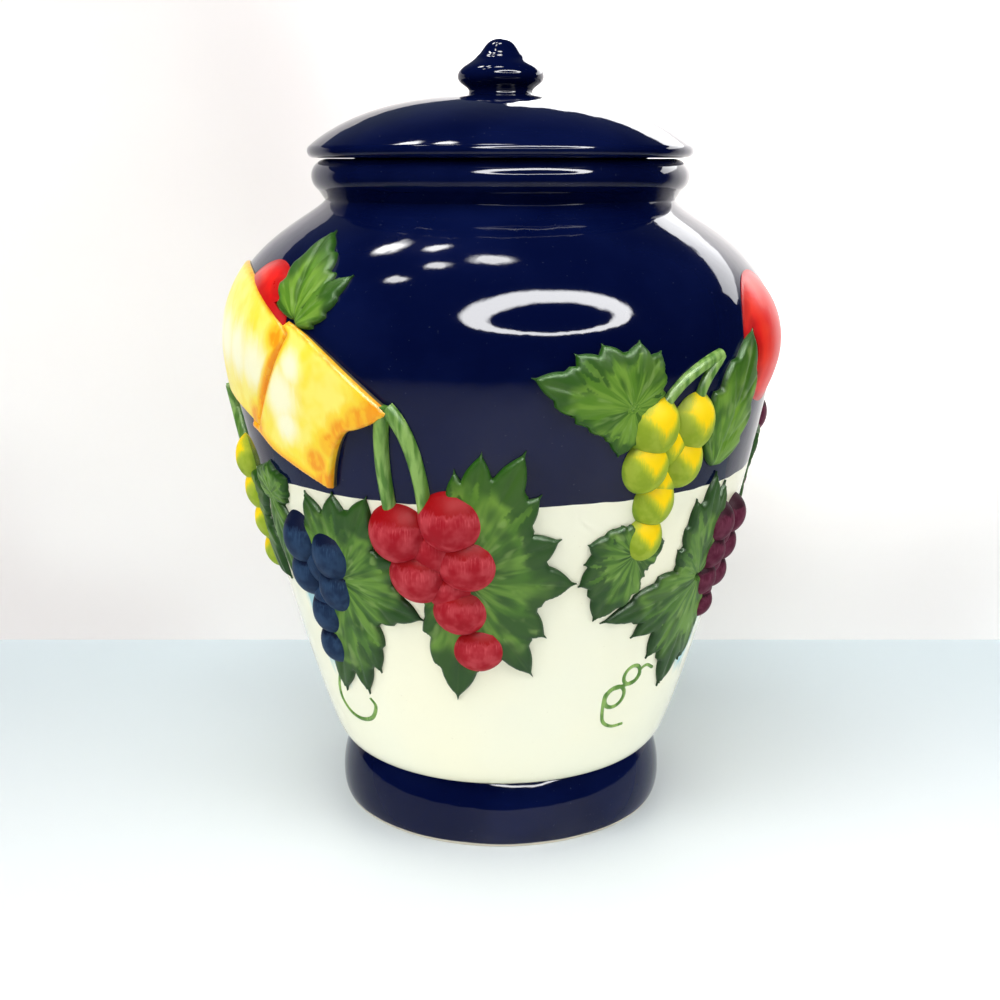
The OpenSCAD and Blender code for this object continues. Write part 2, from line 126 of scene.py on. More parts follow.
# %% Wiring
class Wiring:
    """A shader or geometry tree that is being wired up."""

    def __init__(self, tree):
        self.tree = tree

    def feed(self, socket, value):
        if isinstance(value, Value):
            self.tree.links.new(value.socket, socket)
        else:
            socket.default_value = value

    def node(self, kind, *inputs, out=0, named=None, **settings):
        """Inputs are in the node's order; named ones are found by a number or a name."""
        node = self.tree.nodes.new(kind)
        for key, value in settings.items():
            setattr(node, key, value)
        for socket, value in zip(node.inputs, inputs):
            self.feed(socket, value)
        for key, value in (named or {}).items():
            self.feed(node.inputs[key], value)
        return Value(self, node.outputs[out])

    def math(self, operation, *inputs, clamp=False):
        return self.node("ShaderNodeMath", *inputs, operation=operation, use_clamp=clamp)

    def step(self, value, low, high):
        """0 below low, 1 above high, smooth between them."""
        return self.node("ShaderNodeMapRange", value, low, high, 0.0, 1.0, interpolation_type="SMOOTHSTEP")

    def vector(self, operation, *inputs, out=0):
        return self.node("ShaderNodeVectorMath", *inputs, operation=operation, out=out)

    def length(self, place):
        return self.vector("LENGTH", place, out=1)

    def xyz(self, place):
        """The three numbers of a vector."""
        split = self.node("ShaderNodeSeparateXYZ", place).socket.node
        return [Value(self, socket) for socket in split.outputs]

    def blend(self, share, low, high):
        """From one colour to the other; a colour is a triple or a Value."""
        low, high = ((*c, 1.0) if isinstance(c, tuple) else c for c in (low, high))
        return self.node("ShaderNodeMix", share, data_type="RGBA", named={6: low, 7: high}, out=2)

    def noise(self, place, scale, detail=2.0, roughness=0.5, stretch=None, distortion=0.0):
        if stretch:
            place = self.vector("MULTIPLY", place, stretch)
        return self.node("ShaderNodeTexNoise", named={
            "Vector": place, "Scale": scale, "Detail": detail, "Roughness": roughness,
            "Distortion": distortion})


print("wiring ready")

# %% [markdown]
# A finish on the real jar is a glaze, a paint under a glaze, bare clay or silicone. Each could be a node
# group with many inputs. A plain class is easier to read: what stays the same all over is set on the
# shader's own sockets, and what varies is wired in. It reads places on the piece itself, or the marks that a
# mesh carries at its points, so nothing has to be unwrapped.

# %% Finishes
class Finish(Wiring):
    """A material: its Principled shader, with the parts that vary wired in."""

    def __init__(self, name, roughness=0.12, ior=1.5, gloss=0.5):
        self.material = bpy.data.materials.new(name)
        self.material.use_nodes = True
        super().__init__(self.material.node_tree)
        self.shader = self.tree.nodes["Principled BSDF"]
        self.paint(Roughness=roughness, Specular_IOR_Level=gloss, IOR=ior)
        self.here = self.node("ShaderNodeTexCoord", out=3)

    def mark(self, name, out=2):
        """A number that the mesh carries at each point; out=1 gives a vector."""
        return self.node("ShaderNodeAttribute", attribute_name=name, out=out)

    def paint(self, **inputs):
        """Feeds the shader's own inputs by name, with _ for a space."""
        for key, value in inputs.items():
            value = (*value, 1.0) if isinstance(value, tuple) else value
            self.feed(self.shader.inputs[key.replace("_", " ")], value)

    def bump(self, height, distance):
        self.paint(Normal=self.node("ShaderNodeBump", named={"Height": height, "Distance": distance}))


print("finishes ready")

# %% [markdown]
# ## Glazes
# A glaze is a skin of coloured glass. Its colour pools in hollows and thins on edges, and its surface is
# wavy on the scale of a fingertip, which is what makes a reflection look poured and not machined. A clear
# coat over a coloured base could give the depth, but it adds a second highlight that real glaze doesn't
# have. So each glaze here is one smooth dielectric with slow noise in its colour and a very shallow bump.

# %% Dark glaze
NAVY = (0.0009, 0.0030, 0.029)
NAVY_THIN = (0.0022, 0.0054, 0.041)
NAVY_SPECK = (0.05, 0.06, 0.10)
CLAY = (0.66, 0.61, 0.50)
FOOT_WIPED, WIPE_WANDER = 1.3 * MM, 1.2 * MM


def navy_finish():
    f = Finish("navy_glaze", ior=1.42, gloss=0.25)
    cloud = f.noise(f.here, 28, 3)
    speck = f.step(f.noise(f.here, 900, 1), 0.74, 0.80)
    colour = f.blend(f.step(cloud, 0.40, 0.68), NAVY, NAVY_THIN)
    colour = f.blend(speck * 0.35, colour, NAVY_SPECK)
    height = f.xyz(f.here)[2]
    wiped = 1 - f.step(height + (cloud - 0.5) * WIPE_WANDER, FOOT_WIPED * 0.7, FOOT_WIPED)
    f.paint(Base_Color=f.blend(wiped, colour, CLAY), Roughness=0.035 + cloud * 0.03 + wiped * 0.6)
    f.bump(f.noise(f.here, 55, 2) + f.noise(f.here, 420, 1) * 0.05, 0.22 * MM)
    return f.material


navy_glaze = navy_finish()
print(navy_glaze.name, NAVY)

# %% [markdown]
# The cream has soft washes of sky blue brushed on it beside the dark bunches. They could be painted on as an
# image, but that needs an unwrapped wall. Here each is a ball of colour round a point on the wall, broken up
# by a noise that is drawn out upwards like brush hairs. Further up the wall is plain cream.

# %% Cream glaze
CREAM = (0.955, 0.930, 0.705)
CREAM_COOL = (0.915, 0.915, 0.73)
CREAM_SPECK = (0.42, 0.34, 0.20)
SKY = (0.13, 0.52, 0.66)
WASH_R = {84: 78.0, 66: 73.0}
WASHES = [(-52, 84), (-50, 66), (66, 84), (61, 66), (-108, 84), (-110, 66), (134, 84), (139, 66)]
WASH_TALL = (1, 1, 0.55)
WASH_FROM, WASH_TO, WASH_RAGGED = 3.5 * MM, 8.5 * MM, 12 * MM


def cream_finish():
    f = Finish("cream_glaze")
    cloud = f.noise(f.here, 16, 3)
    speck = f.step(f.noise(f.here, 1100, 1), 0.77, 0.83)
    colour = f.blend(f.step(cloud, 0.35, 0.70), CREAM, CREAM_COOL)
    brush = f.noise(f.here, 260, 3, stretch=(1, 1, 0.22), distortion=0.5)
    for angle, height in WASHES:
        a, r = math.radians(angle), WASH_R[height] * MM
        away = f.vector("SUBTRACT", f.here, (r * math.sin(a), -r * math.cos(a), height * MM))
        near = f.length(f.vector("MULTIPLY", away, WASH_TALL))
        wash = 1 - f.step(near + (brush - 0.5) * WASH_RAGGED, WASH_FROM, WASH_TO)
        colour = f.blend(wash * 0.75, colour, SKY)
    f.paint(Base_Color=f.blend(speck * 0.25, colour, CREAM_SPECK), Roughness=0.05 + cloud * 0.05)
    f.bump(f.noise(f.here, 60, 2), 0.12 * MM)
    return f.material


cream_glaze = cream_finish()
print(cream_glaze.name, CREAM)

# %% [markdown]
# The pot is bare clay outside and below, where the coats and the foot cover it. Its inside is glazed white,
# so it is smooth from the floor up. The inside could be a piece of its own, but one step on the height tells
# the two apart and keeps the pot in one piece. The seal is soft silicone, matt and a little cloudy.

# %% Clay and silicone
CLAY_LIGHT = (0.74, 0.70, 0.60)
WHITE_INSIDE = (0.84, 0.82, 0.72)
INSIDE_FROM, INSIDE_TO = 23.5 * MM, 24.5 * MM


def stoneware_finish():
    f = Finish("stoneware")
    grain = f.noise(f.here, 1500, 2)
    glazed_in = f.step(f.xyz(f.here)[2], INSIDE_FROM, INSIDE_TO)
    f.paint(Base_Color=f.blend(glazed_in, f.blend(grain, CLAY, CLAY_LIGHT), WHITE_INSIDE))
    f.paint(Roughness=0.62 - glazed_in * 0.50)
    f.bump(grain, 0.03 * MM)
    return f.material


def silicone_finish():
    f = Finish("silicone", roughness=0.45, ior=1.41)
    cloud = f.noise(f.here, 90, 2)
    f.paint(Base_Color=f.blend(cloud, (0.78, 0.78, 0.75), (0.86, 0.86, 0.84)))
    f.bump(cloud, 0.04 * MM)
    return f.material


stoneware = stoneware_finish()
silicone = silicone_finish()
print(stoneware.name, silicone.name)

# %% [markdown]
# ## The thrown shapes
# Everything that was thrown or turned on a wheel is a profile swept round the axis. The profile could be a
# long list of traced points, but nobody could change it. It is a chain of Bezier curves and arcs. The sizes
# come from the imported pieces' boxes, and only the fullness of each curve is a number of its own, so the
# looks stay on the solids when a size changes.

# %% Curves
def box_mm(node):
    low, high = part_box(node)
    return np.array(low) / MM, np.array(high) / MM


def bezier(points, count=48):
    t = np.linspace(0, 1, count + 1)[:, None]
    p = [np.array(q, float) for q in points]
    return (1 - t) ** 3 * p[0] + 3 * (1 - t) ** 2 * t * p[1] + 3 * (1 - t) * t * t * p[2] + t ** 3 * p[3]


def arc(centre, radius, start, end, count=24):
    a = np.radians(np.linspace(start, end, count + 1))
    return np.array(centre) + radius * np.c_[np.cos(a), np.sin(a)]


def chain(*parts):
    """Joins curves end to end and drops the points that they share."""
    line = np.vstack(parts)
    keep = np.r_[True, np.linalg.norm(np.diff(line, axis=0), axis=1) > 1e-4]
    return line[keep]


def pushed_out(line, distance):
    """The line moved along its own normals."""
    slope = np.gradient(line, axis=0)
    slope /= np.linalg.norm(slope, axis=1)[:, None]
    return line + distance * np.c_[slope[:, 1], -slope[:, 0]]


print("curves ready")

# %% [markdown]
# The wall rises from a crease over the foot, swells to the belly, draws in to the neck and ends in a rolled
# bead at the mouth. The glaze's outer line could be drawn again by hand. Instead it is the wall's line,
# pushed out by the glaze's thickness, so that the two never cross.

# %% The wall's profile
belly_r, rim_z = box_mm("jar_body")[1][[0, 2]]
foot_h = box_mm("foot_ring")[1][2]
glaze_line = box_mm("cream_glaze")[1][2]
glaze_t = box_mm("navy_glaze")[1][2] - rim_z
mouth_r, lip, neck_t = 53.5, 1.0, 6.0
neck_r, neck_z, belly_z = mouth_r + neck_t, rim_z - 13, 168.0
bead_section, bead_r = 5.2, neck_r + 4.6
bead_c = (bead_r - bead_section, rim_z - bead_section)
crease_r, heel = 54.7, np.array((61.0, foot_h + 7.2))
HEEL_LEAN = np.array((0.36, 0.93))

wall = chain(
    bezier([(crease_r, foot_h), (crease_r + 3, foot_h), heel - 3.5 * HEEL_LEAN, heel], 12),
    bezier([heel, heel + 28 * HEEL_LEAN, (belly_r, belly_z - 20), (belly_r, belly_z)], 60),
    bezier([(belly_r, belly_z), (belly_r, belly_z + 31), (neck_r + 4, neck_z - 6), (neck_r, neck_z)], 60),
    arc(bead_c, bead_section, -55, 90, 30),
    [(mouth_r + lip, rim_z)])
glazed = pushed_out(wall, glaze_t)
glazed = glazed[np.r_[True, np.diff(glazed[:, 1]) > 1e-6]]
print(len(wall), "points; belly", round(belly_r, 1), "mm, rim at", round(rim_z, 1), "mm")

# %% [markdown]
# Three geometry-node trees make what follows a rule here: a lathe, a bunch of grapes and a cord. Each could
# be set up by hand in the editor, but here they share one frame: named inputs, then their own wiring, then
# Realize Instances and Set Material. `settle` runs a tree on an object and keeps the result as a plain mesh,
# because instances and live modifiers are lost in an export.

# %% Geometry trees
def new_tree(name, sizes, build):
    """A tree with named inputs. build(g, given) wires it and gives its mesh."""
    tree = bpy.data.node_groups.new(name, "GeometryNodeTree")
    face = tree.interface
    face.new_socket("Geometry", in_out="INPUT", socket_type="NodeSocketGeometry")
    keys = {}
    for title, value in sizes.items():
        kind = "Int" if isinstance(value, int) else "Float"
        socket = face.new_socket(title, in_out="INPUT", socket_type="NodeSocket" + kind)
        socket.default_value = value
        keys[title] = socket.identifier
    finish_in = face.new_socket("Material", in_out="INPUT", socket_type="NodeSocketMaterial")
    keys["Material"] = finish_in.identifier
    face.new_socket("Geometry", in_out="OUTPUT", socket_type="NodeSocketGeometry")
    g = Wiring(tree)
    given = {s.name: Value(g, s) for s in tree.nodes.new("NodeGroupInput").outputs if s.name}
    mesh = g.node("GeometryNodeRealizeInstances", build(g, given))
    mesh = g.node("GeometryNodeSetMaterial", mesh, named={"Material": given["Material"]})
    g.feed(tree.nodes.new("NodeGroupOutput").inputs[0], mesh)
    return tree, keys


def settle(obj, recipe, sharp=35, **sizes):
    """Runs a tree on the object's mesh, and keeps the result as a plain mesh."""
    tree, keys = recipe
    modifier = obj.modifiers.new(tree.name, "NODES")
    modifier.node_group = tree
    for name, value in sizes.items():
        modifier[keys[name.replace("_", " ")]] = value
    bpy.context.view_layer.update()
    graph = bpy.context.evaluated_depsgraph_get()
    made = bpy.data.meshes.new_from_object(obj.evaluated_get(graph))
    obj.modifiers.remove(modifier)
    obj.data = made
    made.shade_smooth()
    made.set_sharp_from_angle(angle=math.radians(sharp))
    return obj


print("tree frame ready")

# %% [markdown]
# Every piece goes the same way: a mesh becomes an object, numbers are stamped on its points for the paint to
# read, its faces are turned outwards, and then it is handed over. It is parented to an empty for the body
# that it rides on, and the imported solid that it stands for is hidden. Doing this in one place is why no
# piece can be left out by mistake.

# %% From mesh to piece
def as_object(name, vertices, edges=(), faces=()):
    mesh = bpy.data.meshes.new(name)
    mesh.from_pydata([tuple(v) for v in vertices], list(edges), list(faces))
    obj = bpy.data.objects.new(name, mesh)
    bpy.context.scene.collection.objects.link(obj)
    return obj


def stamp(obj, marks):
    """Keeps a number or a vector at each point of the mesh."""
    for name, values in marks.items():
        wide = np.ndim(values) == 2
        layer = obj.data.attributes.new(name, "FLOAT_VECTOR" if wide else "FLOAT", "POINT")
        layer.data.foreach_set("vector" if wide else "value", np.asarray(values, np.float32).ravel())


def outward(obj):
    """Turns a closed shell's faces outwards."""
    work = bmesh.new()
    work.from_mesh(obj.data)
    bmesh.ops.recalc_face_normals(work, faces=work.faces)
    work.to_mesh(obj.data)
    work.free()
    return obj


def hand_over(obj, body, node=None):
    """Parents the piece to its body, and hides the imported solid that it stands for."""
    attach(obj, body)
    if node:
        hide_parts(node)
    print(obj.name, len(obj.data.polygons), "faces")
    return obj


print("ready to hand pieces over")

# %% [markdown]
# The lathe turns any profile into a solid of revolution. A Screw modifier does that too, but it gives a
# perfect circle, and no hand-finished pot is one. So a grid has one row for each profile point and one
# column for each slice, and each of its points looks up its profile point and swings it round the axis. Slow
# noise that depends on the angle pushes the wall in and out by a fraction of a millimetre, and a second one
# lets the colour line wander.

# %% The lathe
LINE_REACH = 12 * MM


def lathe(g, given):
    profile, slices = given["Geometry"], given["Slices"]
    rows = g.node("GeometryNodeAttributeDomainSize", profile, component="MESH")
    grid = g.node("GeometryNodeMeshGrid", 1.0, 1.0, rows, slices + 1)
    index = g.node("GeometryNodeInputIndex")
    row = g.math("FLOOR", (index + 0.5) / (slices + 1))
    angle = (index - row * (slices + 1)) / slices * math.tau
    point = g.node("GeometryNodeSampleIndex", profile, data_type="FLOAT_VECTOR", domain="POINT", named={
        "Value": g.node("GeometryNodeInputPosition"), "Index": row})
    radius, _, height = g.xyz(point)
    east, south = g.math("SINE", angle), g.math("COSINE", angle)
    wobble = g.noise(g.node("ShaderNodeCombineXYZ", east, south, height * 6), 1.6) - 0.5
    wave = (g.noise(g.node("ShaderNodeCombineXYZ", east, south, 7.0), 4.5) - 0.5) * given["Line Wave"]
    near_line = g.math("SUBTRACT", 1.0, abs(height - given["Line Height"]) / LINE_REACH, clamp=True)
    shift = wave * near_line
    # The axis itself stays where it is, so that a pole stays closed
    off_axis = g.math("MINIMUM", radius * 100, 1.0)
    radius = radius + wobble * given["Wobble"] * off_axis + shift * given["Line Slope"]
    place = g.node("ShaderNodeCombineXYZ", radius * east, radius * south * -1, height + shift)
    mesh = g.node("GeometryNodeSetPosition", grid, named={"Position": place})
    return g.node("GeometryNodeMergeByDistance", mesh, named={"Distance": 1e-6})


LATHE = new_tree("lathe", {
    "Slices": 256, "Wobble": 0.0, "Line Height": -1.0, "Line Wave": 0.0, "Line Slope": 0.0}, lathe)


def turn(name, profile, material, body, node, **sizes):
    """A solid of revolution from an outline in millimetres of (radius, height)."""
    points = [(r * MM, 0, z * MM) for r, z in profile]
    obj = as_object(name, points, [(i, i + 1) for i in range(len(points) - 1)])
    settle(obj, LATHE, Material=material, **sizes)
    return hand_over(outward(obj), body, node)


print("lathe inputs", list(LATHE[1]))

# %% [markdown]
# The jar is dipped twice, so a dark coat and a cream one meet at a line round the shoulder. They could be
# two colours on one mesh. They are two thin solid skins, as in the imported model, because a real coat has a
# thickness that catches the light at its edge. Both share the wall's line and wander together at the colour
# line.

# %% Coats
def cut(line, low, high):
    """The part of a rising line between two heights, with its ends put in exactly."""
    ends = [(np.interp(z, line[:, 1], line[:, 0]), z) for z in (low, high)]
    inside = line[(line[:, 1] > low + 0.01) & (line[:, 1] < high - 0.01)]
    return np.vstack([ends[:1], inside, ends[1:]])


slope_from, slope_to = np.interp([glaze_line - 2, glaze_line + 2], glazed[:, 1], glazed[:, 0])
LINE = {
    "Line_Height": glaze_line * MM, "Line_Wave": 2.4 * MM, "Line_Slope": float(slope_to - slope_from) / 4}
WOBBLE = 0.5 * MM

glaze_top = glazed[-1][1]
dark_in = cut(wall, glaze_line, rim_z)
dark_out = cut(glazed, glaze_line, glaze_top)
navy_line = np.vstack([
    dark_in, [(mouth_r + lip, rim_z), (mouth_r + lip, glaze_top)], dark_out[::-1], dark_in[:1]])
turn("navy_coat", navy_line, navy_glaze, "jar", "navy_glaze", Wobble=WOBBLE, **LINE)

pale_in, pale_out = cut(wall, foot_h, glaze_line), cut(glazed, foot_h, glaze_line)
cream_line = np.vstack([pale_in, pale_out[::-1], pale_in[:1]])
turn("cream_coat", cream_line, cream_glaze, "jar", "cream_glaze", Wobble=WOBBLE, **LINE)

# %% [markdown]
# The clay pot itself shows at the mouth, inside, and under the floor. It could be left out under its coats,
# but the lid lifts off and shows it. Its inside follows the outer line at the wall's thickness, with a cove
# where the wall meets the floor, as a potter's rib leaves it.

# %% The clay pot
wall_t, floor_z, floor_cove, bore_h = 5.5, foot_h + 7.0, 6.0, 3.0
hollow = pushed_out(wall, -wall_t)
over_cove = (hollow[:, 1] > floor_z + floor_cove) & (hollow[:, 1] < neck_z)
hollow = hollow[over_cove & (hollow[:, 0] > mouth_r + lip / 2)]
cove_r, cove_z = hollow[0]
cove = bezier([
    (cove_r - 1 - floor_cove, floor_z), (cove_r - 3, floor_z), (cove_r - 1.5, cove_z - 4), hollow[0]], 12)
pot_line = chain(
    [(0, foot_h)], wall, [(mouth_r, rim_z - lip), (mouth_r, neck_z - bore_h)],
    hollow[::-1], cove[::-1], [(0, floor_z)])
turn("pot", pot_line, stoneware, "jar", "jar_body", Wobble=WOBBLE)

# %% [markdown]
# The foot is a ring with a soft bulge. It could be a part of the pot's profile, but it is turned on its own
# and has its own solid. Its underside is wiped clean of glaze before the firing, or the jar would stick to
# the kiln's shelf.

# %% Foot
foot_r, foot_band, foot_ease = 59.0, 9.0, 1.5
rest_r = foot_r - foot_ease
rest_in = rest_r - foot_band
foot_line = chain(
    bezier([(rest_r, 0), (foot_r + 0.9, 2), (foot_r + 0.9, foot_h - 8), (crease_r, foot_h)], 30),
    [(rest_in - 2, foot_h), (rest_in - 1, 2), (rest_in, 0), (rest_r, 0)])
turn("foot", foot_line, navy_glaze, "jar", "foot_ring", Wobble=0.2 * MM)

# %% [markdown]
# ## Lid
# The dome springs from a rounded edge and is hollow below, with a plug ring that hangs into the mouth. A
# groove round the plug holds the seal. It could be a shell with a Solidify modifier, but the plug, the
# groove and the seat each need their own line, so the whole section is drawn once and turned.

# %% Lid
plug_z = box_mm("lid_dome")[0][2]
lid_r, dome_z = box_mm("lid_dome")[1][[0, 2]]
seal_low, seal_high = (corner[2] for corner in box_mm("lid_seal"))
seat_z = rim_z + glaze_t + 0.2
dome_h, dome_t, lid_nose = dome_z - seat_z, 5.0, 2.3
plug_r, plug_t, groove_depth = mouth_r - 4, 5.0, 2.0
plug_in_r, groove_r = plug_r - plug_t, plug_r - groove_depth
knob_r, knob_waist_r = 14.6, 10.8
knob_seat_r = knob_waist_r + 0.2
NOSE_END = 40
nose = arc((lid_r - lid_nose, seat_z + lid_nose), lid_nose, -90, NOSE_END, 20)
hollow_z, crown_z = seat_z + dome_h * 0.4, dome_z - dome_t

lid_line = chain(
    bezier([(0, crown_z), (plug_in_r * 0.6, crown_z), (plug_in_r - 3, hollow_z + 4), (plug_in_r, hollow_z)]),
    [(plug_in_r, plug_z + 1)], arc((plug_in_r + 1, plug_z + 1), 1, 180, 270, 6),
    arc((plug_r - 1, plug_z + 1), 1, 270, 360, 6),
    [(plug_r, seal_low), (groove_r, seal_low), (groove_r, seal_high), (plug_r, seal_high)],
    [(plug_r, seat_z - 0.8)], arc((plug_r + 0.8, seat_z - 0.8), 0.8, 180, 90, 5), nose,
    bezier([
        nose[-1], (lid_r - 6, seat_z + dome_h * 0.43), (lid_r * 0.64, dome_z), (knob_seat_r, dome_z)], 60),
    [(0, dome_z)])
turn("lid", lid_line, navy_glaze, "lid", "lid_dome", Wobble=0.3 * MM)

# %% [markdown]
# The knob is turned on its own and stuck to the crown: a waist, a wide collar, and a small rounded top. A
# squashed sphere on a cylinder would come near, but on the real one the light runs through without a break.
# So it is a chain of curves, each from where the last one ended.

# %% Knob
knob_h = box_mm("lid_knob")[1][2] - dome_z
shoulder_r, tip_r = knob_r * 0.55, knob_r * 0.36
waist, collar, shoulder = (knob_waist_r, 1.6), (knob_r, knob_h * 0.34), (shoulder_r, knob_h * 0.7)
knob_line = chain(
    [(0, -0.3), (knob_waist_r + 1.6, -0.3)],
    bezier([(knob_waist_r + 1.6, 0), (knob_waist_r + 0.3, 0.1), (knob_waist_r, 0.8), waist], 8),
    bezier([waist, (knob_waist_r + 0.4, knob_h * 0.18), (knob_r, knob_h * 0.2), collar], 20),
    bezier([collar, (knob_r, knob_h * 0.52), (shoulder_r * 1.19, knob_h * 0.58), shoulder], 24),
    bezier([shoulder, (tip_r, knob_h * 0.82), (tip_r, knob_h), (0, knob_h)], 24))
turn("knob", knob_line + (0, dome_z), navy_glaze, "lid", "lid_knob", Slices=160, Wobble=0.2 * MM)

# %% [markdown]
# The seal is a soft ring in the plug's groove. Two thin lips reach out to the bore, and it is hollow between
# them. A plain torus could stand for it, but the lips are what holds the lid, and they show when it is
# lifted.

# %% Seal
SEAL_PLAY, LIP_R, LIP_IN, WAIST_IN = 0.1, 0.45, 1.1, 2.1
seal_in, seal_out = groove_r + SEAL_PLAY, mouth_r - SEAL_PLAY
web, seal_from, seal_to = plug_r + 0.6, seal_low + SEAL_PLAY, seal_high - SEAL_PLAY
lips = [arc((seal_out - LIP_R, z), LIP_R, -80, 80, 8) for z in (seal_from + LIP_IN, seal_to - LIP_IN)]
seal_line = np.vstack([
    [(seal_in, seal_from), (web, seal_from)], lips[0],
    bezier([(web + 0.8, seal_from + WAIST_IN - 0.2), (web, seal_from + WAIST_IN), (web, seal_to - WAIST_IN),
            (web + 0.8, seal_to - WAIST_IN + 0.2)], 10),
    lips[1], [(web, seal_to), (seal_in, seal_to), (seal_in, seal_from)]])
turn("seal", seal_line, silicone, "seal", "lid_seal")

# %% [markdown]
# ## Pressed pieces
# A pressed piece is clay from a flat mould that is laid on the wet wall, so it follows the pot's curve. A
# flat relief could be bent on with a Shrinkwrap modifier, but its edges would slide. `lay_on` takes points
# drawn flat, as seen from outside at one angle, finds each point on the wall, and lifts it along the wall's
# normal. The drawings are the ones that the solids were cut by, so both lie in the same place. The far side
# of the garland is the near side, mirrored across the ribbon's middle.

# %% From the flat drawing to the wall
RIBBON_ANGLE = -80
wall_slope = np.gradient(glazed, axis=0)
wall_slope /= np.linalg.norm(wall_slope, axis=1)[:, None]


def at_height(z, column):
    return np.interp(z, glazed[:, 1], column)


def glaze_r(z):
    return at_height(z, glazed[:, 0])


def lay_on(flat, lift, angle):
    """Flat points (across, height) in mm, lifted off the wall, seen square on at this angle in degrees."""
    x, z = np.asarray(flat, float).T
    radius, rise, lean = glaze_r(z), at_height(z, wall_slope[:, 1]), at_height(z, wall_slope[:, 0])
    swing = math.radians(angle) + np.arcsin(np.clip(x / radius, -0.999, 0.999))
    out = radius + lift * rise
    return np.c_[out * np.sin(swing), -out * np.cos(swing), z - lift * lean] * MM


def reframe(flat, seen_from, seen_at):
    """The same places on the wall, drawn as they are seen from another angle."""
    x, z = np.asarray(flat, float).T
    swing = np.arcsin(np.clip(x / glaze_r(z), -1, 1)) + math.radians(seen_from - seen_at)
    return np.c_[glaze_r(z) * np.sin(swing), z]


def mirrored(points):
    a = math.radians(RIBBON_ANGLE)
    normal = np.array((math.cos(a), math.sin(a), 0))
    return points - 2 * (points @ normal)[:, None] * normal


def turned(points, degrees):
    a = math.radians(degrees)
    return points @ np.array(((math.cos(a), math.sin(a)), (-math.sin(a), math.cos(a))))


print("the garland is drawn on", len(glazed), "wall points")

# %% [markdown]
# A press needs to know which points lie inside its outlines and how far each point is from its edge.
# Blender's search trees could tell, but the drawings are flat and small, so plain arithmetic on all points
# at once is enough. Paint and relief are often strongest along a line and fade away from it, and `fading` is
# that, as a bell curve.

# %% Inside, outside and distance
def inside(points, outline):
    """Which points lie in a closed outline."""
    x, y = points.T
    hit = np.zeros(len(points), bool)
    for (x0, y0), (x1, y1) in zip(outline, np.roll(outline, -1, axis=0)):
        crosses = (y0 > y) != (y1 > y)
        with np.errstate(divide="ignore", invalid="ignore"):
            hit ^= crosses & (x < (x1 - x0) * (y - y0) / (y1 - y0) + x0)
    return hit


def within(outlines, but=()):
    """A test for points that lie in one of these outlines and in none of the others."""
    def covered(points):
        hit = np.any([inside(points, line) for line in outlines], axis=0)
        return hit & ~np.any([inside(points, line) for line in but], axis=0)
    return covered


def distance_to(points, starts, ends):
    """The distance of each point from the nearest of these segments."""
    best = np.full(len(points), 1e9)
    for a, b in zip(starts, ends):
        run = b - a
        t = np.clip((points - a) @ run / max(run @ run, 1e-12), 0, 1)[:, None]
        best = np.minimum(best, np.linalg.norm(points - a - t * run, axis=1))
    return best


def fading(distance, reach):
    return np.exp(-(distance / reach) ** 2)


def pillow(rim, width):
    """0 at the rim, and 1 from this width inwards, with a round shoulder."""
    return np.sqrt(1 - (1 - np.minimum(rim / width, 1)) ** 2)


print("outline tests ready")

# %% [markdown]
# Each outline has to be filled with small triangles whose corners can be lifted. A Boolean and a Remesh
# could do it, but they round off the outline that makes a leaf look cut. A constrained Delaunay
# triangulation keeps the outline's own points and joins them up with an even grid of points inside. What it
# makes outside the outlines is dropped.

# %% Triangles in an outline
PITCH = 0.62
ROW = 0.866
CLEAR_OF_EDGE = 0.45


def triangulated(outlines, covered):
    """Points and triangles over the union of the outlines."""
    edges, points = [], []
    for line in outlines:
        first = len(points)
        points.extend(line)
        edges += [(first + i, first + (i + 1) % len(line)) for i in range(len(line))]
    low, high = np.min(points, axis=0), np.max(points, axis=0)
    rows = np.arange(low[1], high[1], PITCH * ROW)
    columns = np.arange(low[0], high[0], PITCH)
    grid = np.array([(x + PITCH / 2 * (k % 2), y) for k, y in enumerate(rows) for x in columns])
    grid = grid[covered(grid)]
    starts = np.vstack(outlines)
    ends = np.vstack([np.roll(line, -1, axis=0) for line in outlines])
    grid = grid[distance_to(grid, starts, ends) > PITCH * CLEAR_OF_EDGE]
    cloud = [Vector(p) for p in points] + [Vector(p) for p in grid]
    made, _, faces, *_ = geometry.delaunay_2d_cdt(cloud, edges, [], 0, 1e-5)
    flat, faces = np.array([tuple(p) for p in made]), np.array([tuple(f) for f in faces])
    faces = faces[covered(flat[faces].mean(axis=1))]
    used, packed = np.unique(faces, return_inverse=True)
    return flat[used], packed.reshape(-1, 3)


def boundary_of(faces):
    """Directed edges that only one triangle has."""
    edges = np.vstack([faces[:, [0, 1]], faces[:, [1, 2]], faces[:, [2, 0]]])
    keys = {tuple(e) for e in edges}
    return np.array([e for e in edges if (e[1], e[0]) not in keys])


print("grid pitch", PITCH, "mm")

# %% [markdown]
# A press mesh could be extruded and filled by hand, but there are over twenty. So it is made in three moves.
# A rule gives each point its lift. A wall goes down from the outline into the glaze, and a cap closes it.
# The rule also gives marks, such as the distance from the edge, which stay on the points for the paint to
# read.

# %% Press meshes
SUNK = -0.35
PRESS_SHARP = math.radians(60)


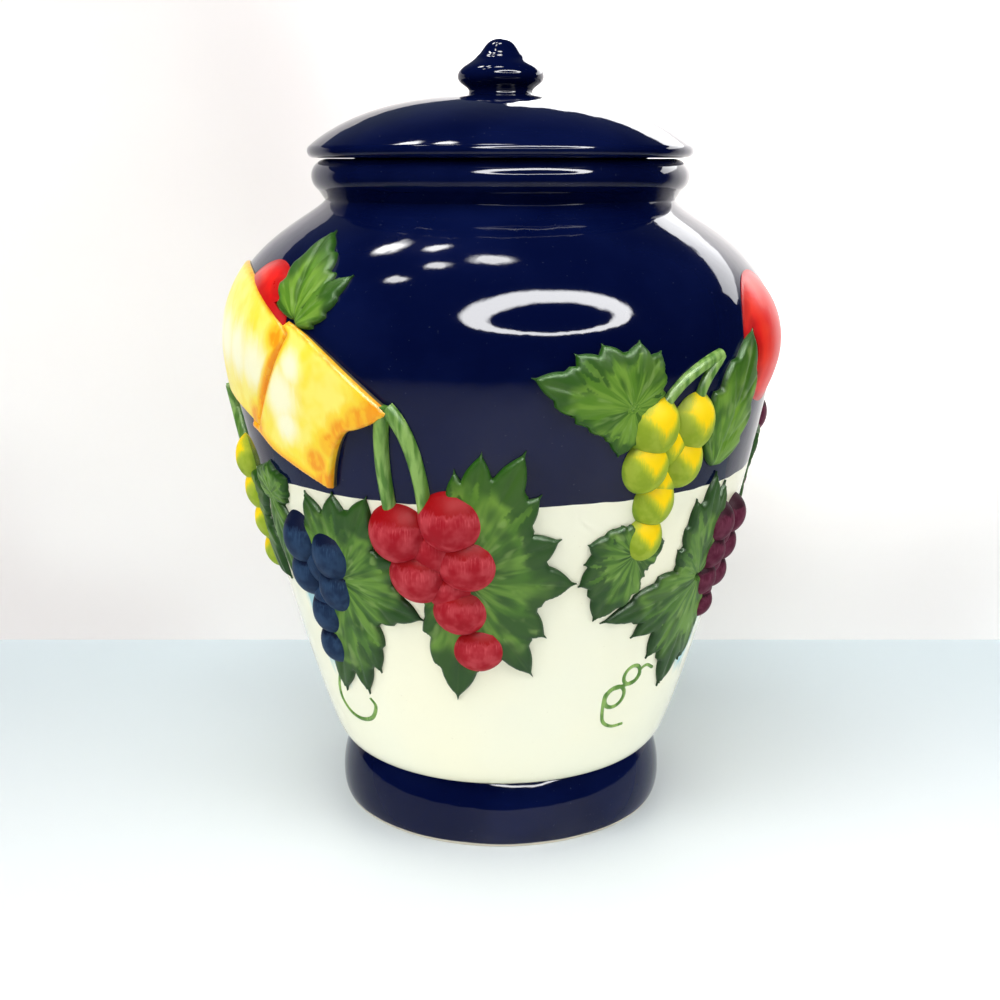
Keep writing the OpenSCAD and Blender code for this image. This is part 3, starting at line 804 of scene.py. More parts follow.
def press(name, outlines, covered, rule, angle, material, mirror=False):
    """A pressed piece. rule(points, rim) gives the lift and a dict of marks."""
    flat, faces = triangulated(outlines, covered)
    spin = np.cross(flat[faces[:, 1]] - flat[faces[:, 0]], flat[faces[:, 2]] - flat[faces[:, 0]])
    faces[spin < 0] = faces[spin < 0][:, ::-1]
    edge = boundary_of(faces)
    rim = distance_to(flat, flat[edge[:, 0]], flat[edge[:, 1]])
    lift, marks = rule(flat, rim)
    ring, where = np.unique(edge, return_inverse=True)
    where = where.reshape(edge.shape)
    foot = where + len(flat)
    wall_quads = np.c_[edge[:, 1], edge[:, 0], foot[:, 0], foot[:, 1]]
    around = [Vector(p) for p in flat[ring]]
    _, _, cap, kept, *_ = geometry.delaunay_2d_cdt(around, where.tolist(), [], 0, 1e-6)
    cap = np.array([tuple(c) for c in cap])
    cap = cap[covered(flat[ring][cap].mean(axis=1))] if len(kept) == len(ring) else []
    cap_faces = [tuple(len(flat) + i for i in reversed(c)) for c in cap]
    points = np.vstack([lay_on(flat, lift, angle), lay_on(flat[ring], SUNK, angle)])
    obj = as_object(name, mirrored(points) if mirror else points, (), [
        *map(tuple, faces), *map(tuple, wall_quads), *cap_faces])
    marks = {"rim": rim, **marks}
    stamp(obj, {mark: np.concatenate([values, values[ring]]) for mark, values in marks.items()})
    stamp(obj, {"side": np.repeat((0.0, 1.0), (len(flat), len(ring)))})
    obj.data.materials.append(material)
    obj.data.shade_smooth()
    obj.data.set_sharp_from_angle(angle=PRESS_SHARP)
    return outward(obj)


print("a press reaches", -SUNK, "mm into the glaze")

# %% [markdown]
# ## Vine leaves
# A vine leaf is a few pointed lobes round one middle, each with saw teeth that point to its tip. Every leaf
# could be drawn as an outline of its own, but all of them follow one rule. So one function draws a lobe's
# side for any length and width, and a leaf is only a list of lobes. The veins run to the same teeth.

# %% Leaf outlines
TEETH = 4
LOBE_TIP = 1.04
VALLEY, PEAK, HOOK_BACK = 0.1, 0.96, 1.1
VALLEY_IN, PEAK_OUT, TOOTH_SWELL = 0.84, 1.06, 0.07


def fullness(s):
    """How wide a lobe is along its length, from 0 at the middle of the leaf to 1 at the tip."""
    return np.sin(np.pi * np.minimum(s, 1) ** 0.72) ** 0.8


def lobe_side(length, width):
    """One side of a lobe: for each tooth a swelling edge out to its point and a short hook back."""
    line = []
    for i in range(TEETH):
        valley, peak, back = ((i + share) / TEETH for share in (VALLEY, PEAK, HOOK_BACK))
        low, high = width * fullness(valley) * VALLEY_IN, width * fullness(peak) * PEAK_OUT
        for t in np.linspace(0, 1, 9)[:-1]:
            bulge = TOOTH_SWELL * width * math.sin(math.pi * t)
            line.append((length * (valley + (peak - valley) * t), low + (high - low) * t + bulge))
        last = i == TEETH - 1
        after = 0 if last else width * fullness(back) * VALLEY_IN
        end = length * (LOBE_TIP if last else back)
        for t in np.linspace(0, 1, 4)[:-1]:
            line.append((length * peak + (end - length * peak) * t, high + (after - high) * t ** 0.7))
    return np.array(line)


def lobe_outlines(height, lobes):
    """The outlines of lobes that are (direction, length, half width) round one middle."""
    outlines = []
    for direction, length, width in lobes:
        half = lobe_side(length, width)
        line = np.vstack([[(0, 0)], half, [(length * LOBE_TIP, 0)], half[::-1] * (1, -1)])
        outlines.append(turned(line, direction) + (0, height))
    return outlines


def vein_lines(length, width):
    """The midrib, and a side vein to each tooth's point on both sides."""
    lines = [((0, 0), (length, 0))]
    for i in range(TEETH):
        peak = (i + 0.9) / TEETH
        tip = width * fullness(peak) * 0.95
        for side in (1, -1):
            lines.append(((length * max(peak - 0.30, 0.02), 0), (length * peak, side * tip)))
    return np.array(lines, float)


print(len(lobe_side(30, 10)), "points on one side of a lobe")

# %% [markdown]
# A moulded leaf swells between its veins. It could be sculpted, but then every leaf would need it again.
# Here the height is a rule: at each point the highest lobe wins, and the marks come from that lobe. They say
# how near the point is to a vein, and how far along the lobe it lies. `stroke` is the distance from the
# leaf's middle and the direction round it, so that paint that follows it runs out from the middle.

# %% Leaf relief
LEAF_T = 2.0
FAN_R = 20
APART = 61
MIDRIB, VEIN, VEIN_SWELL = (0.34, 0.8), (0.14, 0.5), 1.6


def leaf_rule(middle, lobes, seed):
    """The lift and the marks of a leaf."""
    def rule(flat, rim):
        lift = np.full(len(flat), -9.0)
        vein, along = np.full(len(flat), 9.0), np.zeros(len(flat))
        from_middle = flat - middle
        reach = np.linalg.norm(from_middle, axis=1)
        stroke = np.c_[reach + APART * seed, FAN_R * from_middle / np.maximum(reach, 1.0)[:, None]]
        for direction, length, width in lobes:
            own = turned(from_middle, -direction)
            s = own[:, 0] / length
            across = np.abs(own[:, 1]) / np.maximum(width * fullness(np.clip(s, 0.02, 0.98)), 1.0)
            mine = (s > -0.05) & (s < 1.06) & (across < 1.25)
            lines = vein_lines(length, width)
            midrib = distance_to(own, lines[:1, 0], lines[:1, 1])
            veins = distance_to(own, lines[1:, 0], lines[1:, 1])
            swell = 1 - 0.4 * across ** 2 - 0.3 * np.clip(s, 0, 1) ** 3
            height = LEAF_T * (0.72 + 0.36 * swell) + 0.10 * np.minimum(veins, VEIN_SWELL)
            height -= MIDRIB[0] * fading(midrib, MIDRIB[1]) + VEIN[0] * fading(veins, VEIN[1])
            height = np.where(mine, height, -9)
            won = height > lift
            lift = np.maximum(lift, height)
            vein = np.where(won, np.minimum(midrib * 0.8, veins + 0.35), vein)
            along = np.where(won, s, along)
        skirt = 0.35 * LEAF_T
        lift = skirt + (np.maximum(lift, skirt) - skirt) * pillow(rim, 1.5)
        return lift, {"vein": vein, "along": along, "stroke": stroke}
    return rule


print("leaf", LEAF_T, "mm thick")

# %% [markdown]
# The leaves' paint is laid on wet in wet: a middle green, soft light strokes out from the middle, a dark
# green that gathers at the edges and tips, and thin pale veins. Noise on plain coordinates would look like
# moss. The strokes are noise that is drawn out along the mark `stroke`, so they run as a brush does. Leaves
# on the cream part are a cooler green. The cut side of a pressed piece shows bare glaze over clay, so it is
# a glassy grey.

# %% Leaf paint
SIDE_GREY = (0.045, 0.055, 0.045)
COOL_BELOW, WARM_ABOVE = 108 * MM, 140 * MM
LEAF_MIDDLE = (0.085, 0.215, 0.010), (0.055, 0.150, 0.014)
LEAF_LIGHT = (0.200, 0.370, 0.036), (0.165, 0.320, 0.044)
LEAF_DARK = (0.014, 0.075, 0.002), (0.011, 0.050, 0.008)
LEAF_DAB, LEAF_VEIN = (0.27, 0.42, 0.11), (0.30, 0.46, 0.14)


def leaf_finish():
    f = Finish("leaf_glaze", gloss=0.22)
    stroke, along = f.mark("stroke", out=1), f.mark("along")
    rim, vein, side = f.mark("rim"), f.mark("vein"), f.mark("side")
    cool = 1 - f.step(f.xyz(f.here)[2], COOL_BELOW, WARM_ABOVE)
    zone = f.noise(stroke, 1.0, 1, stretch=(0.070, 0.095, 0.095))
    brush = f.noise(stroke, 1.0, 2, stretch=(0.06, 0.24, 0.24))
    dabs = f.noise(stroke, 1.0, 1, stretch=(0.16, 0.26, 0.26))
    middle, light, dark = (f.blend(cool, *pair) for pair in (LEAF_MIDDLE, LEAF_LIGHT, LEAF_DARK))
    body = f.blend(f.step(brush, 0.40, 0.62) * 0.65, middle, light)
    body = f.blend((1 - f.step(zone + (brush - 0.5) * 0.3, 0.34, 0.50)) * 0.65, body, dark)
    body = f.blend(f.step(dabs, 0.56, 0.74) * 0.40, body, LEAF_DAB)
    body = f.blend((1 - f.step(vein + (brush - 0.5) * 0.5, 0.05, 0.40)) * 0.25, body, LEAF_VEIN)
    body = f.blend(f.step(along + (zone - 0.5) * 1.0 + (brush - 0.5) * 0.3, 0.58, 0.80) * 0.85, body, dark)
    body = f.blend((1 - f.step(rim + (brush - 0.5) * 1.6, 0.3, 2.2)) * 0.55, body, dark)
    body = f.blend((1 - f.step(rim, 0.15, 0.60)) * 0.75, body, dark)
    body = f.blend(f.step(side, 0.25, 0.6) * 0.7, body, SIDE_GREY)
    f.paint(Base_Color=body, Roughness=0.34 + brush * 0.16)
    f.bump(brush + f.noise(f.here, 500, 1) * 0.1, 0.16 * MM)
    return f.material


leaf_glaze = leaf_finish()
print(leaf_glaze.name)

# %% [markdown]
# ## The garland's leaves
# Leaves lie behind every bunch and over the edge of each large fruit. They could be scattered by chance, but
# a potter lays each one by hand so that its tips show between the fruit. This table repeats the places that
# the solids were cut by. A leaf is its middle, as an angle and a height, and its lobes as direction, length
# and half width.

# %% Places of the leaves
LEAVES = {
    "red": [((-8, 104), (
        (92, 34, 7), (80, 40, 10), (64, 44, 10), (48, 35, 9), (22, 31, 11), (-6, 33, 12),
        (-42, 32, 11), (-61, 40, 10), (-95, 44, 12), (-126, 21, 8)))],
    "green": [
        ((24, 157), (
            (162, 31, 9), (138, 24, 9), (118, 21, 9), (84, 19, 9), (60, 18, 8), (34, 11, 6),
            (186, 18, 8), (-145, 13, 7), (-100, 15, 8))),
        ((29, 109), ((133, 12, 7), (165, 16, 8), (-172, 16, 8), (-150, 19, 9), (-114, 24, 10), (10, 12, 8)))],
    "purple": [((52, 95), (
        (-165, 37, 8), (-144, 29, 9), (-118, 30, 10), (-94, 40, 10), (-78, 34, 8),
        (110, 29, 8), (94, 35, 8), (80, 31, 8), (140, 17, 7)))],
    "blue": [((-38, 98), (
        (110, 29, 9), (85, 29, 10), (62, 33, 9), (20, 25, 9), (-22, 28, 10),
        (-78, 33, 9), (-91, 42, 9), (-106, 46, 10)))],
    "under": [
        ((-80, 114), ((165, 25, 10), (14, 25, 10), (-50, 32, 11), (-130, 32, 11))),
        ((-58, 122), ((80, 11, 8), (30, 13, 6), (150, 13, 6), (-88, 32, 7))),
        ((-102, 122), ((100, 11, 8), (150, 13, 6), (30, 13, 6), (-92, 32, 7)))],
    "rear": [((100, 122), (
        (155, 30, 12), (120, 21, 9), (62, 21, 9), (28, 30, 12), (-8, 22, 9),
        (-45, 34, 12), (-88, 36, 10), (-135, 34, 12), (-170, 22, 9)))],
    "back": [((-152, 104), (
        (86, 32, 8), (102, 39, 10), (117, 43, 10), (134, 33, 9), (160, 31, 11), (187, 33, 12),
        (-137, 32, 11), (-118, 39, 10), (-84, 44, 12), (-54, 24, 10)))],
    "side": [((47, 134), ((71, 44, 13),))],
    "top": [((-41, 180.5), ((100, 25, 11),)), ((-41, 179), ((44, 21, 5.5),))],
}
print(sum(len(lobes) for leaves in LEAVES.values() for _, lobes in leaves), "lobes drawn")

# %% [markdown]
# The leaves of a bunch are pressed one by one and then joined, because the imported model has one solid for
# them. They could be triangulated as one outline, but each is laid on at its own angle. Every leaf has its
# own seed, so that no two are painted alike.

# %% Leaves
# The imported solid, the drawing, and whether it is on the mirrored side
VINES = [
    ("red_vine_front", "red", False), ("green_vine_right", "green", False),
    ("purple_vine_side", "purple", False), ("blue_vine_left", "blue", False),
    ("green_vine_left", "under", False), ("purple_vine_rear", "rear", False),
    ("red_vine_back", "back", False), ("blue_vine_back", "green", True),
    ("purple_vine_back", "blue", True), ("green_vine_rear", "purple", True),
    ("apple_leaf_right", "side", False), ("peach_leaf_back", "side", True),
    ("apple_leaves_left", "top", False), ("lemon_leaves_left", "top", True)]


def joined(name, parts):
    """Several meshes as one, with their marks."""
    if len(parts) > 1:
        with bpy.context.temp_override(active_object=parts[0], selected_editable_objects=parts):
            bpy.ops.object.join()
    parts[0].name = name
    return parts[0]


for vine_seed, (node, key, mirror) in enumerate(VINES, 1):
    name = node.replace("vine", "leaves")
    leaves = []
    for number, ((angle, height), lobes) in enumerate(LEAVES[key]):
        outlines = lobe_outlines(height, lobes)
        rule = leaf_rule((0, height), lobes, vine_seed + 31 * number)
        leaves.append(press(f"{name}_{number}", outlines, within(outlines), rule, angle, leaf_glaze, mirror))
    hand_over(joined(name, leaves), "jar", node)

# %% [markdown]
# ## Grapes
# A bunch is one ball many times over, pressed a little out of round. Each grape could be an object of its
# own, but they are all the same ball, so it is made by instances on points. Each ball keeps its own
# coordinates in the mark `ball` before it is copied, so the paint knows the top and the rim of every grape.

# %% The bunch tree
DENTS_PER_M = 90.0


def bunch_of_balls(g, given):
    ball = g.node("GeometryNodeMeshUVSphere", 40, 24, 1.0)
    ball = g.node("GeometryNodeStoreNamedAttribute", ball, data_type="FLOAT_VECTOR", domain="POINT", named={
        "Name": "ball", "Value": g.node("GeometryNodeInputPosition")})
    size = g.node("GeometryNodeInputNamedAttribute", "size", data_type="FLOAT")
    copies = g.node("GeometryNodeInstanceOnPoints", given["Geometry"], named={
        "Instance": ball,
        "Rotation": g.node("GeometryNodeInputNamedAttribute", "turn", data_type="FLOAT_VECTOR"),
        "Scale": g.node("ShaderNodeCombineXYZ", size, size, size * given["Stretch"])})
    mesh = g.node("GeometryNodeRealizeInstances", copies)
    shift = g.node("ShaderNodeCombineXYZ", given["Seed"], 0.0, 0.0)
    dent = g.noise(g.vector("ADD", g.node("GeometryNodeInputPosition"), shift), DENTS_PER_M, 1.0) - 0.5
    push = g.node("ShaderNodeVectorMath", g.node("GeometryNodeInputNormal"), operation="SCALE", named={
        "Scale": dent * given["Dent"]})
    return g.node("GeometryNodeSetPosition", mesh, named={"Offset": push})


BUNCH = new_tree("bunch", {"Stretch": 1.0, "Dent": 0.4 * MM, "Seed": 1}, bunch_of_balls)
print("bunch inputs", list(BUNCH[1]))

# %% [markdown]
# Grapes are painted with the side of a brush: a dark cap at the top of each, and a lighter body with fine
# streaks that run down it. A darker skirt on the side of each grape that turns towards the wall is painted
# shade. The green ones have no cap, but a bright yellow patch. One finish with a switch could serve all four
# colours, but one function with four sets of colours is easier to read and gives each its own slot.

# %% Grape paint
PATCH_HALO = (0.62, 0.62, 0.03)


def grape_finish(name, cap, body, light, skirt, cap_at=0.30, patch=None):
    f = Finish(name, gloss=0.06)
    ball, seed = f.mark("ball", out=1), f.mark("seed")
    across, front, up = f.xyz(ball)
    shifted = f.vector("ADD", ball, f.node("ShaderNodeCombineXYZ", seed * 9, seed * 5, seed * 3))
    streak = f.noise(shifted, 1.0, 3, 0.55, stretch=(20, 20, 1.8), distortion=0.25)
    cloud = f.noise(shifted, 2.2, 2)
    colour = f.blend(f.step(cloud, 0.36, 0.66), body, f.blend(0.35, body, light))
    # The light streaks are strongest under the cap and run out towards the foot of the grape
    reach = f.step(up + (cloud - 0.5) * 0.8, -0.35, cap_at)
    colour = f.blend(f.step(streak, 0.48, 0.72) * reach * 0.60, colour, light)
    top = f.step(up + (streak - 0.5) * 0.40 + (cloud - 0.5) * 0.6, cap_at - 0.08, cap_at + 0.08)
    colour = f.blend(top * 0.95, colour, cap)
    if patch:
        spot = abs(up - 0.34) * 0.85 + abs(across) * 0.85 + (streak - 0.5) * 0.30 + (cloud - 0.5) * 0.25
        colour = f.blend((1 - f.step(spot, 0.50, 0.86)) * 0.7, colour, PATCH_HALO)
        colour = f.blend(1 - f.step(spot, 0.34, 0.66), colour, patch)
    # Painted shade: the side of each grape that faces the wall is darkened towards the skirt colour
    shade_at_wall = 1 - f.step((0 - front) + (cloud - 0.5) * 0.3, 0.22, 0.46)
    colour = f.blend(shade_at_wall * 0.55, colour, skirt)
    f.paint(Base_Color=colour, Roughness=0.42 + streak * 0.14)
    f.bump(streak, 0.05 * MM)
    return f.material


red_grape = grape_finish(
    "red_grape_glaze",
    (0.31, 0.0006, 0.003), (0.34, 0.009, 0.018), (0.70, 0.110, 0.130), (0.17, 0.002, 0.006))
green_grape = grape_finish(
    "green_grape_glaze",
    (0.20, 0.32, 0.03), (0.27, 0.38, 0.026), (0.50, 0.58, 0.08), (0.13, 0.25, 0.030),
    cap_at=0.90, patch=(1.0, 0.70, 0.004))
purple_grape = grape_finish(
    "purple_grape_glaze",
    (0.03, 0.004, 0.012), (0.085, 0.009, 0.028), (0.22, 0.06, 0.10), (0.05, 0.015, 0.03))
blue_grape = grape_finish(
    "blue_grape_glaze",
    (0.002, 0.005, 0.026), (0.011, 0.026, 0.066), (0.040, 0.090, 0.18), (0.009, 0.022, 0.055))
print([m.name for m in (red_grape, green_grape, purple_grape, blue_grape)])

# %% [markdown]
# A bunch is the place of its top row, a grape's radius, how many grapes each row has, a lean and a tilt. The
# grapes could be let fall against each other by physics, but then they would leave the solids. Two grapes
# side by side leave a gap under them, and a smaller, deeper one looks out of it.

# %% Places of the grapes
PLACES = {
    "red": ((-15.6, 120), 11, (2, 2, 1, 1), 4.6, 5),
    "green": ((34.4, 150.5), 9.8, (2, 2, 1, 1), -1.6, 0),
    "purple": ((62, 112), 8, (2, 2, 2, 1), -0.5, 0),
    "blue": ((-45, 108), 9.6, (2, 2, 1, 1), -1, -3),
    "under": ((-80, 128), 8.8, (2, 2, 2, 1), 0.8, 2),
    "rear": ((100, 138), 9.4, (2, 2, 2, 1), 0.6, -2),
    "back": ((-144, 118), 10.4, (2, 2, 2, 1), 0, -3),
}
ROW_PITCH, ROW_SPREAD, ROW_TAPER, GRAPE_SINK, INNER_SINK = 1.24, 0.76, 0.06, 0.32, 0.56


def grape_places(place, size, rows, lean, tilt):
    """(angle in degrees, height, radius, sink) of every grape, in mm."""
    grapes = []

    def add(row, side, sink):
        radius = size * (1 - ROW_TAPER * row)
        height = place[1] - size * ROW_PITCH * row + side * tilt / 2
        across = side * ROW_SPREAD * radius + lean * row
        grapes.append((place[0] + math.degrees(across / glaze_r(height)), height, radius, sink))

    for row, count in enumerate(rows):
        for side in ((0,) if count == 1 else (-1, 1)):
            add(row, side, GRAPE_SINK)
        if count == 2 and row < len(rows) - 1:
            add(row + 0.5, 0, INNER_SINK)
    return np.array(grapes, float)


print(sum(len(grape_places(*place)) for place in PLACES.values()), "grapes drawn")

# %% [markdown]
# Four colours of grapes go round the jar, so that neighbours differ. A bunch could be copied, moved and
# coloured by hand for each place. A table with one row for each is shorter, and a change to one grape
# reaches all of them.

# %% Bunches
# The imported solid, the place, the paint, how tall a grape is for its width, and the mirrored side
BUNCHES = [
    ("red_grapes_front", "red", red_grape, 1.0, False),
    ("green_grapes_right", "green", green_grape, 1.12, False),
    ("purple_grapes_side", "purple", purple_grape, 1.0, False),
    ("blue_grapes_left", "blue", blue_grape, 1.15, False),
    ("green_grapes_left", "under", green_grape, 1.12, False),
    ("purple_grapes_rear", "rear", purple_grape, 1.0, False),
    ("red_grapes_back", "back", red_grape, 1.0, False),
    ("blue_grapes_back", "green", blue_grape, 1.12, True),
    ("purple_grapes_back", "blue", purple_grape, 1.15, True),
    ("green_grapes_rear", "purple", green_grape, 1.0, True)]
SEED_STEP, TONE_STEP = 0.37, 0.61

for seed, (node, key, material, stretch, mirror) in enumerate(BUNCHES, 1):
    angle, height, radius, sink = grape_places(*PLACES[key]).T
    swing = np.radians(angle)
    out = glaze_r(height) - sink * radius
    middles = np.c_[out * np.sin(swing), -out * np.cos(swing), height] * MM
    if mirror:
        middles, swing = mirrored(middles), 2 * math.radians(RIBBON_ANGLE) - swing
    balls = as_object(node + "_balls", middles)
    stamp(balls, {
        "size": radius * MM / stretch ** 0.5, "turn": np.c_[0 * swing, 0 * swing, swing],
        "seed": (seed * SEED_STEP + np.arange(len(radius)) * TONE_STEP) % 1})
    settle(balls, BUNCH, 180, Stretch=stretch, Seed=seed, Material=material)
    hand_over(balls, "jar", node)

# %% [markdown]
# ## Ribbon
# The ribbon is a long panel with a swallow-tailed end on each side. It could be one folded sheet, but on the
# jar it is three pressed pieces. The panel lies nearly flush, and the tail rises from the fold to its notch.
# Each outline is a few curves between named corners, so a fold can be moved by one number.

# %% Ribbon outlines
TAIL_ANGLE = RIBBON_ANGLE + 42
FOLD_TOP, FOLD_FOOT = (57, 176), (37, 145)
NOTCH_TOP, NOTCH_IN = (29, 156), (15, 149.5)

panel_line = chain(
    bezier([FOLD_TOP, (30, 200), (-30, 200), (-FOLD_TOP[0], FOLD_TOP[1])], 60),
    bezier([(-FOLD_FOOT[0], FOLD_FOOT[1]), (-15, 154), (15, 154), FOLD_FOOT], 40))
tail_line = chain(
    [(-26, 170)], bezier([(-8, 180), (6, 176), (18, 166), NOTCH_TOP], 30),
    bezier([NOTCH_TOP, (26, 153.5), (19, 150), NOTCH_IN], 8),
    bezier([NOTCH_IN, (11, 148), (7, 138), (5, 130)], 12),
    bezier([(4, 130), (-6, 134), (-18, 139), (-34, 144)], 30))
panel_over = reframe(panel_line, RIBBON_ANGLE, TAIL_ANGLE)
print(len(panel_line), "panel points,", len(tail_line), "tail points")

# %% [markdown]
# Its paint is a yellow that turns orange at the edges, at the fold and at the tips, with a near-white painted
# highlight along the middle of the panel and the tail. An image could hold that, but two marks on the points
# are enough: `warm` for the orange and one for the painted highlight. They are soft spots at places on the
# flat outline, and lines that fade, and noise breaks up where they end.

# %% Ribbon paint
YELLOW, YELLOW_LIGHT, HIGHLIGHT_YELLOW = (0.98, 0.79, 0.055), (1.0, 0.87, 0.16), (1.0, 0.97, 0.66)
AMBER, ORANGE, ORANGE_LIGHT = (0.98, 0.66, 0.022), (0.94, 0.35, 0.008), (0.97, 0.53, 0.020)
RIBBON_SIDE, RIBBON_SIDE_LIGHT = (0.035, 0.030, 0.018), (0.14, 0.11, 0.06)


def ribbon_finish():
    f = Finish("yellow_glaze", gloss=0.25)
    warm, pale, rim, side = f.mark("warm"), f.mark("pale"), f.mark("rim"), f.mark("side")
    cloud = f.noise(f.here, 110, 2)
    brush = f.noise(f.here, 300, 3, stretch=(1, 1, 0.35), distortion=0.8)
    fine = f.noise(f.here, 900, 2, stretch=(1, 1, 0.2), distortion=0.5)
    body = f.blend(f.step(cloud, 0.35, 0.62), YELLOW, YELLOW_LIGHT)
    # Painted highlight: a near-white yellow where the highlight mark is strong
    body = f.blend(f.step(pale + (brush - 0.5) * 0.4, 0.15, 0.95), body, HIGHLIGHT_YELLOW)
    tint = warm + (brush - 0.5) * 0.35 + (fine - 0.5) * 0.15
    body = f.blend(f.step(tint, 0.08, 0.40) * 0.8, body, AMBER)
    glow = f.step(tint, 0.36, 0.75)
    edge = 1 - f.step(rim + (brush - 0.5) * 1.6, 0.25, 1.3)
    deep = f.blend(f.step(brush, 0.42, 0.60), ORANGE, ORANGE_LIGHT)
    body = f.blend(f.math("MAXIMUM", glow, edge * 0.75), body, deep)
    body = f.blend(f.step(side, 0.10, 0.35), body, f.blend(brush, RIBBON_SIDE, RIBBON_SIDE_LIGHT))
    f.paint(Base_Color=body, Roughness=0.26 + brush * 0.10)
    f.bump(brush + fine * 0.3, 0.12 * MM)
    return f.material


yellow_glaze = ribbon_finish()
print(yellow_glaze.name)

# %% [markdown]
# The panel has a faint wave along it. The tail starts low beside the fold, climbs to its full height in 16
# mm and has one soft crease across it. Cloth simulation could fold it, but pressed clay has no more than
# these two bends, so they are written in the rules that lift the points.

# %% Ribbon pieces
PANEL_T, TAIL_T, TAIL_FROM, TAIL_CLIMB = 1.4, 3.4, 1.5, 16
TAIL_WARM = [(28, 156, 9), (20, 153, 6), (14, 149, 6), (9, 145, 5), (5, 131, 7), (2, 139, 5), (-30, 145, 6)]
# Spots of painted highlight in the middle of the tail, as (across, height, radius)
TAIL_HIGHLIGHTS = [(-11, 158, 10), (-5, 167, 6), (-9, 149, 6)]


def spots(flat, places):
    """A soft spot of colour at each (across, height, radius)."""
    across, up = flat.T
    return np.max([fading(np.hypot(across - x, up - z), radius) for x, z, radius in places], axis=0)


def panel_rule(flat, rim):
    wave = 0.18 * np.sin(flat[:, 0] / 5.5)
    folds = [np.array([(side * x, z) for side in (1, -1)], float) for x, z in (FOLD_TOP, FOLD_FOOT)]
    corners = [(side * x, z, 5) for side in (-1, 1) for x, z in ((54, 175), (38, 148))]
    warm = np.max([
        0.8 * fading(distance_to(flat, *folds), 2.2), spots(flat, corners), 0.6 * fading(rim, 1.8)], axis=0)
    # Painted highlight: soft spots in a low arc along the top of the panel
    pale = spots(flat, [(x, 172 - (x / 16) ** 2, 10) for x in range(-42, 43, 12)])
    lift = PANEL_T * (0.35 + 0.65 * pillow(rim, 1.2)) + wave * np.minimum(rim / 6, 1)
    return lift, {"warm": warm, "pale": pale}


def tail_rule(flat, rim):
    away = distance_to(flat, panel_over[:60], panel_over[1:61])
    away = np.minimum(away, distance_to(flat, panel_over[-2:-1], panel_over[:1]))
    rise = np.clip(away / TAIL_CLIMB, 0, 1)
    lift = TAIL_FROM + (TAIL_T - TAIL_FROM) * rise * rise * (3 - 2 * rise)
    lift += 0.35 * fading(flat[:, 0] + flat[:, 1] * 0.3 - 49, 3.5) * rise
    foot_edge = distance_to(flat, tail_line[-31:-1], tail_line[-30:])
    warm = np.max([
        spots(flat, TAIL_WARM), 0.9 * fading(away, 1.8), 0.75 * fading(foot_edge, 3.6),
        0.45 * fading(rim, 1.6)], axis=0)
    return lift * (0.55 + 0.45 * pillow(rim, 1.3)), {"warm": warm, "pale": spots(flat, TAIL_HIGHLIGHTS)}


panel = press("ribbon_middle", [panel_line], within([panel_line]), panel_rule, RIBBON_ANGLE, yellow_glaze)
hand_over(panel, "jar", "ribbon_panel")
for end, mirror in (("front", False), ("back", True)):
    beside_panel = within([tail_line], [panel_over])
    tail = press(
        f"ribbon_end_{end}", [tail_line, panel_over], beside_panel, tail_rule, TAIL_ANGLE, yellow_glaze,
        mirror)
    hand_over(tail, "jar", f"ribbon_tail_{end}")

# %% [markdown]
# ## Large fruit
# The large fruit are apples, a peach and a lemon. Their colour is darker at the rim, which is painted shade
# where the low dome turns away, with a few lighter clouds. A gradient across the ball would do for one view,
# but the distance from the rim is right from all sides.

# %% Fruit paint
def fruit_finish(name, body, light, dark):
    f = Finish(name, gloss=0.2)
    rim, side = f.mark("rim"), f.mark("side")
    brush = f.noise(f.here, 220, 3, stretch=(1, 1, 0.3), distortion=0.5)
    cloud = f.noise(f.here, 70, 2)
    colour = f.blend(f.step(cloud, 0.42, 0.64) * 0.6, body, light)
    # Painted shade: darker within a few millimetres of the outline, where the dome turns away
    colour = f.blend((1 - f.step(rim + (brush - 0.5) * 4, 0.4, 4.0)) * 0.7, colour, dark)
    colour = f.blend(f.step(side, 0.25, 0.6) * 0.7, colour, SIDE_GREY)
    f.paint(Base_Color=colour, Roughness=0.24 + brush * 0.12)
    f.bump(brush, 0.08 * MM)
    return f.material


apple_glaze = fruit_finish("apple_glaze", (0.78, 0.010, 0.008), (0.90, 0.055, 0.020), (0.42, 0.004, 0.006))
peach_glaze = fruit_finish("peach_glaze", (0.92, 0.36, 0.07), (0.95, 0.52, 0.16), (0.62, 0.12, 0.03))
lemon_glaze = fruit_finish("lemon_glaze", (0.92, 0.66, 0.05), (0.97, 0.80, 0.20), (0.62, 0.40, 0.03))


print([m.name for m in (apple_glaze, peach_glaze, lemon_glaze)])

# %% [markdown]
# A large fruit is a low cap of a ball, half hidden by the leaf or the ribbon in front of it. A whole sphere
# sunk in the wall would stick out through the leaf, so its outline is a circle with those outlines cut away.

# %% Large fruit
FRUIT_RISE, FRUIT_RIM = 3.5, 0.25
SIDE_FRUIT, TOP_FRUIT = (66, 172, 21), (-56, 178, 19)


def fruit(node, place, in_front, material, mirror=False):
    """in_front holds (outline, the angle that it is drawn at) of what hides a part of the fruit."""
    angle, height, radius = place
    around = arc((0, height), radius, 0, 360, 90)[:-1]
    hidden_by = [reframe(line, drawn_at, angle) for line, drawn_at in in_front]

    def rule(flat, rim):
        away = np.hypot(flat[:, 0], flat[:, 1] - height) / radius
        return np.maximum(FRUIT_RISE * (1 - away ** 2), FRUIT_RIM), {}

    name = node.replace("_", "_cap_")
    covered = within([around], hidden_by)
    hand_over(press(name, [around, *hidden_by], covered, rule, angle, material, mirror), "jar", node)


def leaf_in_front(key):
    return [(line, angle) for (angle, height), lobes in LEAVES[key] for line in lobe_outlines(height, lobes)]


